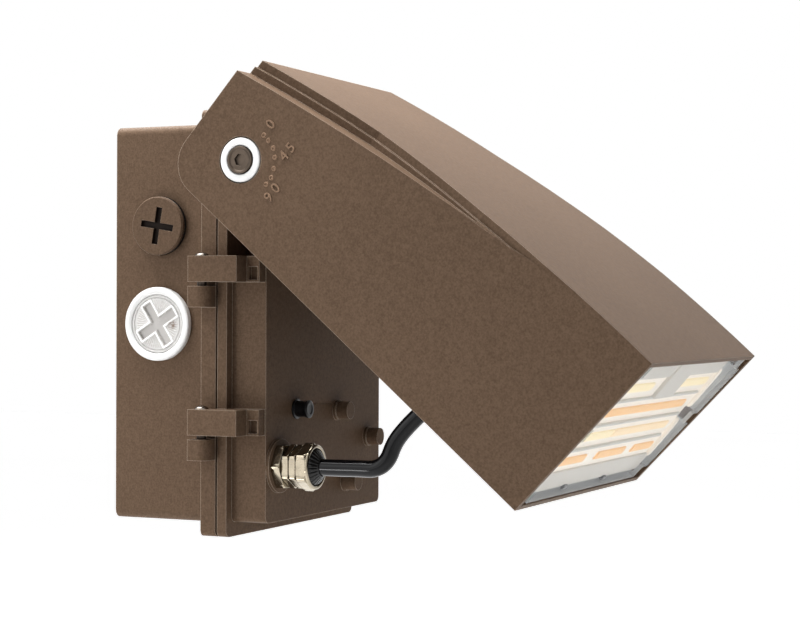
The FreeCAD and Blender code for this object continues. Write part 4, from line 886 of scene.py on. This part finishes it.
breather = eased([(0, -4), (2.55, -4), (2.6, 0.0), (4.7, 0.0), (4.75, 0.75), (3.8, 0.85), (3.75, 5.7),
                  (4.15, 5.8), (4.2, 7.2), (3.4, 7.4), (2.4, 7.4), (2.3, 7.15), (0, 7.15)], 0.2, 3)
dress(gridPiece("breatherCap", onFace("breather", turned(breather, 96)), sharp=35), "black", "cover",
      "black_plastic", "breather_vent")
print("plug ring, pins and breather made")

boxSeal = {
    "halfWide": 65.0, "halfHigh": 97.5, "round": 3.0,   # of its outer edge, in millimetres
    "half": 2.25, "halfThick": 0.45,
    "depth": -58.05,
}


# rounded rectangle: four quarter circles, joined straight; gives its points and the outward direction at each
def roundedRectangle(halfWide, halfHigh, round, steps=10):
    turn = numpy.linspace(0, math.pi / 2, steps)
    angle = numpy.concatenate([turn + math.pi / 2 * corner for corner in range(4)])
    signs = numpy.repeat([(1, 1), (-1, 1), (-1, -1), (1, -1)], steps, axis=0)
    out = numpy.column_stack([numpy.cos(angle), numpy.sin(angle)])
    return signs * (halfWide - round, halfHigh - round) + out * round, out


# the box's gasket: a section with rounded corners, half cos(t)^0.5 by halfThick sin(t)^0.5, carried along the
# rounded rectangle
def boxGasket():
    path, out = roundedRectangle(boxSeal["halfWide"], boxSeal["halfHigh"], boxSeal["round"])
    angle = numpy.linspace(0, 2 * math.pi, 20, endpoint=False)[None, :]
    inward = -boxSeal["half"] + boxSeal["half"] * power(numpy.cos(angle), 0.5)
    flat = path[:, None] + out[:, None] * inward[..., None]
    depth = boxSeal["depth"] + boxSeal["halfThick"] * power(numpy.sin(angle), 0.5)
    depth = numpy.broadcast_to(depth, flat.shape[:2])
    return numpy.stack([flat[..., 0], depth, flat[..., 1]], axis=-1) * millimetre


dress(gridPiece("boxGasket", boxGasket(), loopRows=True, sharp=60), "rubber", "box", "black_rubber",
      "box_seal")

# low and high corners (across, out, up) of the strips that make the light engine's gasket
engineStrips = [
    ((-81.3, 185.0, 19.2), (-80.2, 186.2, 49.3)), ((-81.3, 185.0, -17.9), (-80.2, 186.2, 12.2)),
    ((78.8, 185.0, 19.2), (81.4, 186.5, 49.3)), ((78.8, 185.0, -17.9), (81.4, 186.5, 12.2)),
    ((-71.0, 185.0, 53.6), (71.0, 186.5, 56.2)), ((-71.0, 185.0, -24.8), (71.0, 186.5, -22.2)),
]


# bars on the head as one piece; shape is each bar's ends, sides, rows and columns
def headBars(name, finish, slot, nodes, shape, corners):
    grids = numpy.stack([bar(low, high, *shape) for low, high in corners])
    dress(gridPiece(name, onHead(grids), sharp=60), finish, "head", slot, *nodes)


headBars("engineGasket", "rubber", "black_rubber", ["engine_seal"], (0.15, 0.6, 24, 24), engineStrips)
print("gaskets made")

# the beads on the board: start and stop across, and middle up across the head; board and top lie out along it
beads = {
    "cool": ("cool_phosphor", ["cool_strips"],
             [(-67.5, -17.5, 36.6), (24.5, 70.0, 36.6), (-61.0, -19.0, 8.6)]),
    "warm": ("warm_phosphor", ["warm_strips"],
             [(-62.0, 63.0, 22.6), (-64.0, -29.5, -5.4), (-13.5, 26.5, -5.4), (39.5, 70.0, -5.4)]),
    "peach": ("cool_phosphor", [], [(-17.0, 65.0, 8.6)]),
}
bead = {"board": 194.6, "sunk": 0.3, "top": 195.4, "half": 2.3}
for finish, (slot, nodes, strips) in beads.items():
    foot, top, half = bead["board"] - bead["sunk"], bead["top"], bead["half"]
    corners = [((left, foot, middle - half), (right, top, middle + half)) for left, right, middle in strips]
    headBars(f"{finish}Beads", finish, slot, nodes, (0.06, 0.6, 60, 32), corners)

# name, finish, solids, shape and corners of the other bars on the board and round it
engineBars = [
    ("engineRibs", "rib", ["row_ribs"], (0.05, 0.5, 50, 24),
     [((-70, 194.4, middle - 0.7), (70, 195.8, middle + 0.7)) for middle in (1.6, 15.6, 29.6)]),
    ("boardTab", "tab", [], (0.1, 0.25, 50, 48),
     [((-4.5, 194.4, 29.2), (23.5, 196.4, 55.0))]),
    ("engineFrame", "tab", [], (0.05, 0.3, 50, 32),
     [((-78.0, 194.2, low), (78.0, 195.6, high)) for low, high in ((-22.0, -11.2), (42.0, 53.0))]),
    ("reflectorRim", "board", [], (0.08, 0.4, 40, 32),
     [((middle - 2, 193.0, low), (middle + 2, 196.3, high))
      for middle in (-77.0, 77.0) for low, high in ((-13.0, 11.8), (19.6, 44.6))]),
    ("engineClips", "black", [], (0.2, 0.5, 24, 24),
     [((middle - 2.5, 193.2, low), (middle + 2.5, 196.6, low + 2.6))
      for middle in (-27.0, 27.0) for low in (-23.4, 49.8)]),
]
for name, finish, nodes, shape, corners in engineBars:
    headBars(name, finish, "grey_plastic", nodes, shape, corners)
print("light engine made")

# ring of the pivot: a flat washer with soft edges; the screw has a thread and a pan head with a raised rim
# and a hex socket
pivotRing = eased([(6.65, -2.0), (6.65, 0.15), (6.9, 0.4), (9.6, 0.4), (9.95, 0.05), (9.95, -2.6),
                   (4.1, -2.6), (4.1, -2.0), (6.65, -2.0)], 0.22)
heights = numpy.linspace(-18, -2.2, 90)
pivotHead = [row(-18.5, 0.01), row(-18.5, 3.6)] + [row(height, 3.75, ridge=0.22) for height in heights]
pivotHead += [row(-1.4, 4.0), row(-1.4, 6.0), row(-1.2, 6.2), row(0.3, 6.25), row(0.75, 6.05), row(0.88, 5.6),
              row(0.78, 5.15), row(0.35, 4.75), row(0.3, 3.6), row(0.3, 2.95, 5.0), row(0.15, 2.8, 5.0),
              row(-1.0, 2.8, 5.0), row(-1.1, 0.01)]
for cheek, number in (("leftCheek", 1), ("rightCheek", 2)):
    ring = gridPiece(f"pivotRing{number}", onFace(cheek, turned(pivotRing, 128)), sharp=50)
    screw = gridPiece(f"pivotScrew{number}", onFace(cheek, faceted(pivotHead, 144)), sharp=35)
    dress(ring, "white", "head", "white_plastic")
    dress(screw, "screwBronze", "cover", "steel")
    if number == 1:
        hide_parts("pivot_rings")
        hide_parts("pivot_screws")

# the dial's numbers and dots: places on the left cheek, out along the head and up across it, in millimetres
dial = {
    "dots": [(2.1, 15.9), (5.5, 15.6), (9.6, 14.6), (12.9, 12.0), (15.8, 7.9), (17.5, 4.1), (17.4, 0.2)],
    "digits": [("0", 1.5, 21.7), ("4", 15.9, 15.3), ("5", 16.1, 20.2), ("9", 22.1, -3.3), ("0", 22.1, 2.0)],
    "high": 4.7,
    "raised": 0.42,
}
# the dots and numbers take the lighter dial coat, a painted highlight
dot = turned(eased([(0, 0.05), (0.45, 0.05), (0.62, 0.36), (1.0, 0.4), (1.3, -0.05)], 0.15), 40)
places = numpy.array([(out, up, 0) for out, up in dial["dots"]])
dress(gridPiece("dialDots", onFace("leftCheek", dot + places[:, None, None]), sharp=50), "litDialBronze", "head",
      "bronze_coat")


# flat lettering made into a raised mesh, centred: returns its points in millimetres and its faces
def glyph(body):
    curve = bpy.data.curves.new("glyph", "FONT")
    curve.body = body
    curve.size = dial["high"] / 0.70
    curve.extrude = dial["raised"] / 2
    curve.bevel_depth = 0.06
    item = bpy.data.objects.new("glyph", curve)
    bpy.context.scene.collection.objects.link(item)
    bpy.context.view_layer.update()
    mesh = bpy.data.meshes.new_from_object(item.evaluated_get(bpy.context.evaluated_depsgraph_get()))
    points = numpy.empty(len(mesh.vertices) * 3)
    mesh.vertices.foreach_get("co", points)
    points = points.reshape(-1, 3)
    points = points - (points.min(axis=0) + points.max(axis=0)) / 2
    sides = [tuple(polygon.vertices) for polygon in mesh.polygons]
    bpy.data.objects.remove(item)
    return points, sides


points, sides = [], []
for body, out, up in dial["digits"]:
    flat, faceList = glyph(body)
    start = sum(len(part) for part in points)
    points.append(numpy.column_stack([out - flat[:, 1], up + flat[:, 0], flat[:, 2] + dial["raised"] / 2]))
    sides += [tuple(corner + start for corner in face) for face in faceList]
digits = linkMesh("dialDigits", onFace("leftCheek", numpy.concatenate(points)).tolist(), sides)
dress(digits, "litDialBronze", "head", "bronze_coat")
print("pivots and dial made")

plain = {
    "ground_screw": "brass", "terminal_block": "cream", "photocell_nut": "black",
    "cover_screws": "steel", "led_driver": "driver", "driver_screws": "zinc", "gland_locknut": "nickel",
    "yoke_screws": "steel", "tooth_washers": "zinc", "head_gland": "nickel", "heat_spreader": "spreader",
    "engine_screws": "steel", "led_board": "board",
}
for node, finish in plain.items():
    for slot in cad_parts[node].material_slots:
        slot.material = finishes[finish]
print("plain solids dressed:", len(plain))

room = {
    "floor": -0.42, "floorReach": 6,
    "floorGlow": 0.75,
    "ambient": 0.17,
    "sees": ["Is Camera Ray", "Is Glossy Ray", "Is Transmission Ray"],   # rays that meet the white background
    "lamps": [
        # name, place, aim, size, watts
        ("keyLamp", (-0.58, 0.52, 0.58), (0, -0.08, 0.03), 0.8, 2.2),
        ("topLamp", (0.0, 0.10, 0.64), (0, -0.1, 0.05), 0.6, 17.0),
        ("sideLamp", (-0.50, 0.22, 0.08), (0, -0.03, 0), 0.5, 1.05),
        ("frontLamp", (-0.3, -1.7, 0.3), (0, -0.1, 0), 1.4, 4.8),
        ("rightLamp", (1.6, -0.4, 0.7), (0, -0.1, 0), 1.4, 2.0),
        ("cardLamp", (-0.70, 0.24, -0.34), (-0.05, -0.12, -0.066), 0.12, 0.9),
    ],
}


# rays that see the room, added together: 1 for the kinds named
def rayShare(tree, kinds):
    rays = tree.nodes.new("ShaderNodeLightPath")
    total = rays.outputs[kinds[0]]
    for kind in kinds[1:]:
        plus = tree.nodes.new("ShaderNodeMath")
        plus.operation, plus.use_clamp = "ADD", True
        tree.links.new(total, plus.inputs[0])
        tree.links.new(rays.outputs[kind], plus.inputs[1])
        total = plus.outputs[0]
    return total


# the rays named see plain white; all others get the soft light, the lamps and the floor's own colour
def addRoom():
    world = bpy.data.worlds.new("paleRoom")
    bpy.context.scene.world = world
    world.use_nodes = True
    tree = world.node_tree
    tree.nodes.clear()
    white, soft = (tree.nodes.new("ShaderNodeBackground") for _ in range(2))
    for background, strength in ((white, 1.0), (soft, room["ambient"])):
        background.inputs["Color"].default_value = rgb(1, 1, 1)
        background.inputs["Strength"].default_value = strength
    mixed = tree.nodes.new("ShaderNodeMixShader")
    output = tree.nodes.new("ShaderNodeOutputWorld")
    tree.links.new(rayShare(tree, room["sees"]), mixed.inputs[0])
    tree.links.new(soft.outputs[0], mixed.inputs[1])
    tree.links.new(white.outputs[0], mixed.inputs[2])
    tree.links.new(mixed.outputs[0], output.inputs["Surface"])
    low, far = room["floor"], room["floorReach"]
    floor = linkMesh("floor", [(-far, -far, low), (far, -far, low), (far, far, low), (-far, far, low)],
                     [(0, 1, 2, 3)])
    made = Finish("floorPaint")
    cloud = made.noise(3.0, 2.0)
    paint = made.node("ShaderNodeBsdfPrincipled", values={
        "Base Color": made.mix(cloud, rgb(0.9, 0.9, 0.9), rgb(0.93, 0.93, 0.93)),
        "Roughness": cloud * 0.1 + 0.7,
    })
    seen = Number(made, rayShare(made.tree, room["sees"]))
    glow = made.node("ShaderNodeEmission", values={"Strength": seen * room["floorGlow"]})
    floor.data.materials.append(made.finish(made.node("ShaderNodeAddShader", values={0: paint, 1: glow})))
    for name, place, aim, size, watts in room["lamps"]:
        data = bpy.data.lights.new(name, "AREA")
        data.size = size
        data.energy = watts
        item = bpy.data.objects.new(name, data)
        item.location = place
        item.rotation_euler = (Vector(aim) - Vector(place)).to_track_quat("-Z", "Y").to_euler()
        bpy.context.scene.collection.objects.link(item)
    bpy.context.scene.view_settings.view_transform = "Standard"


addRoom()
print("room made")
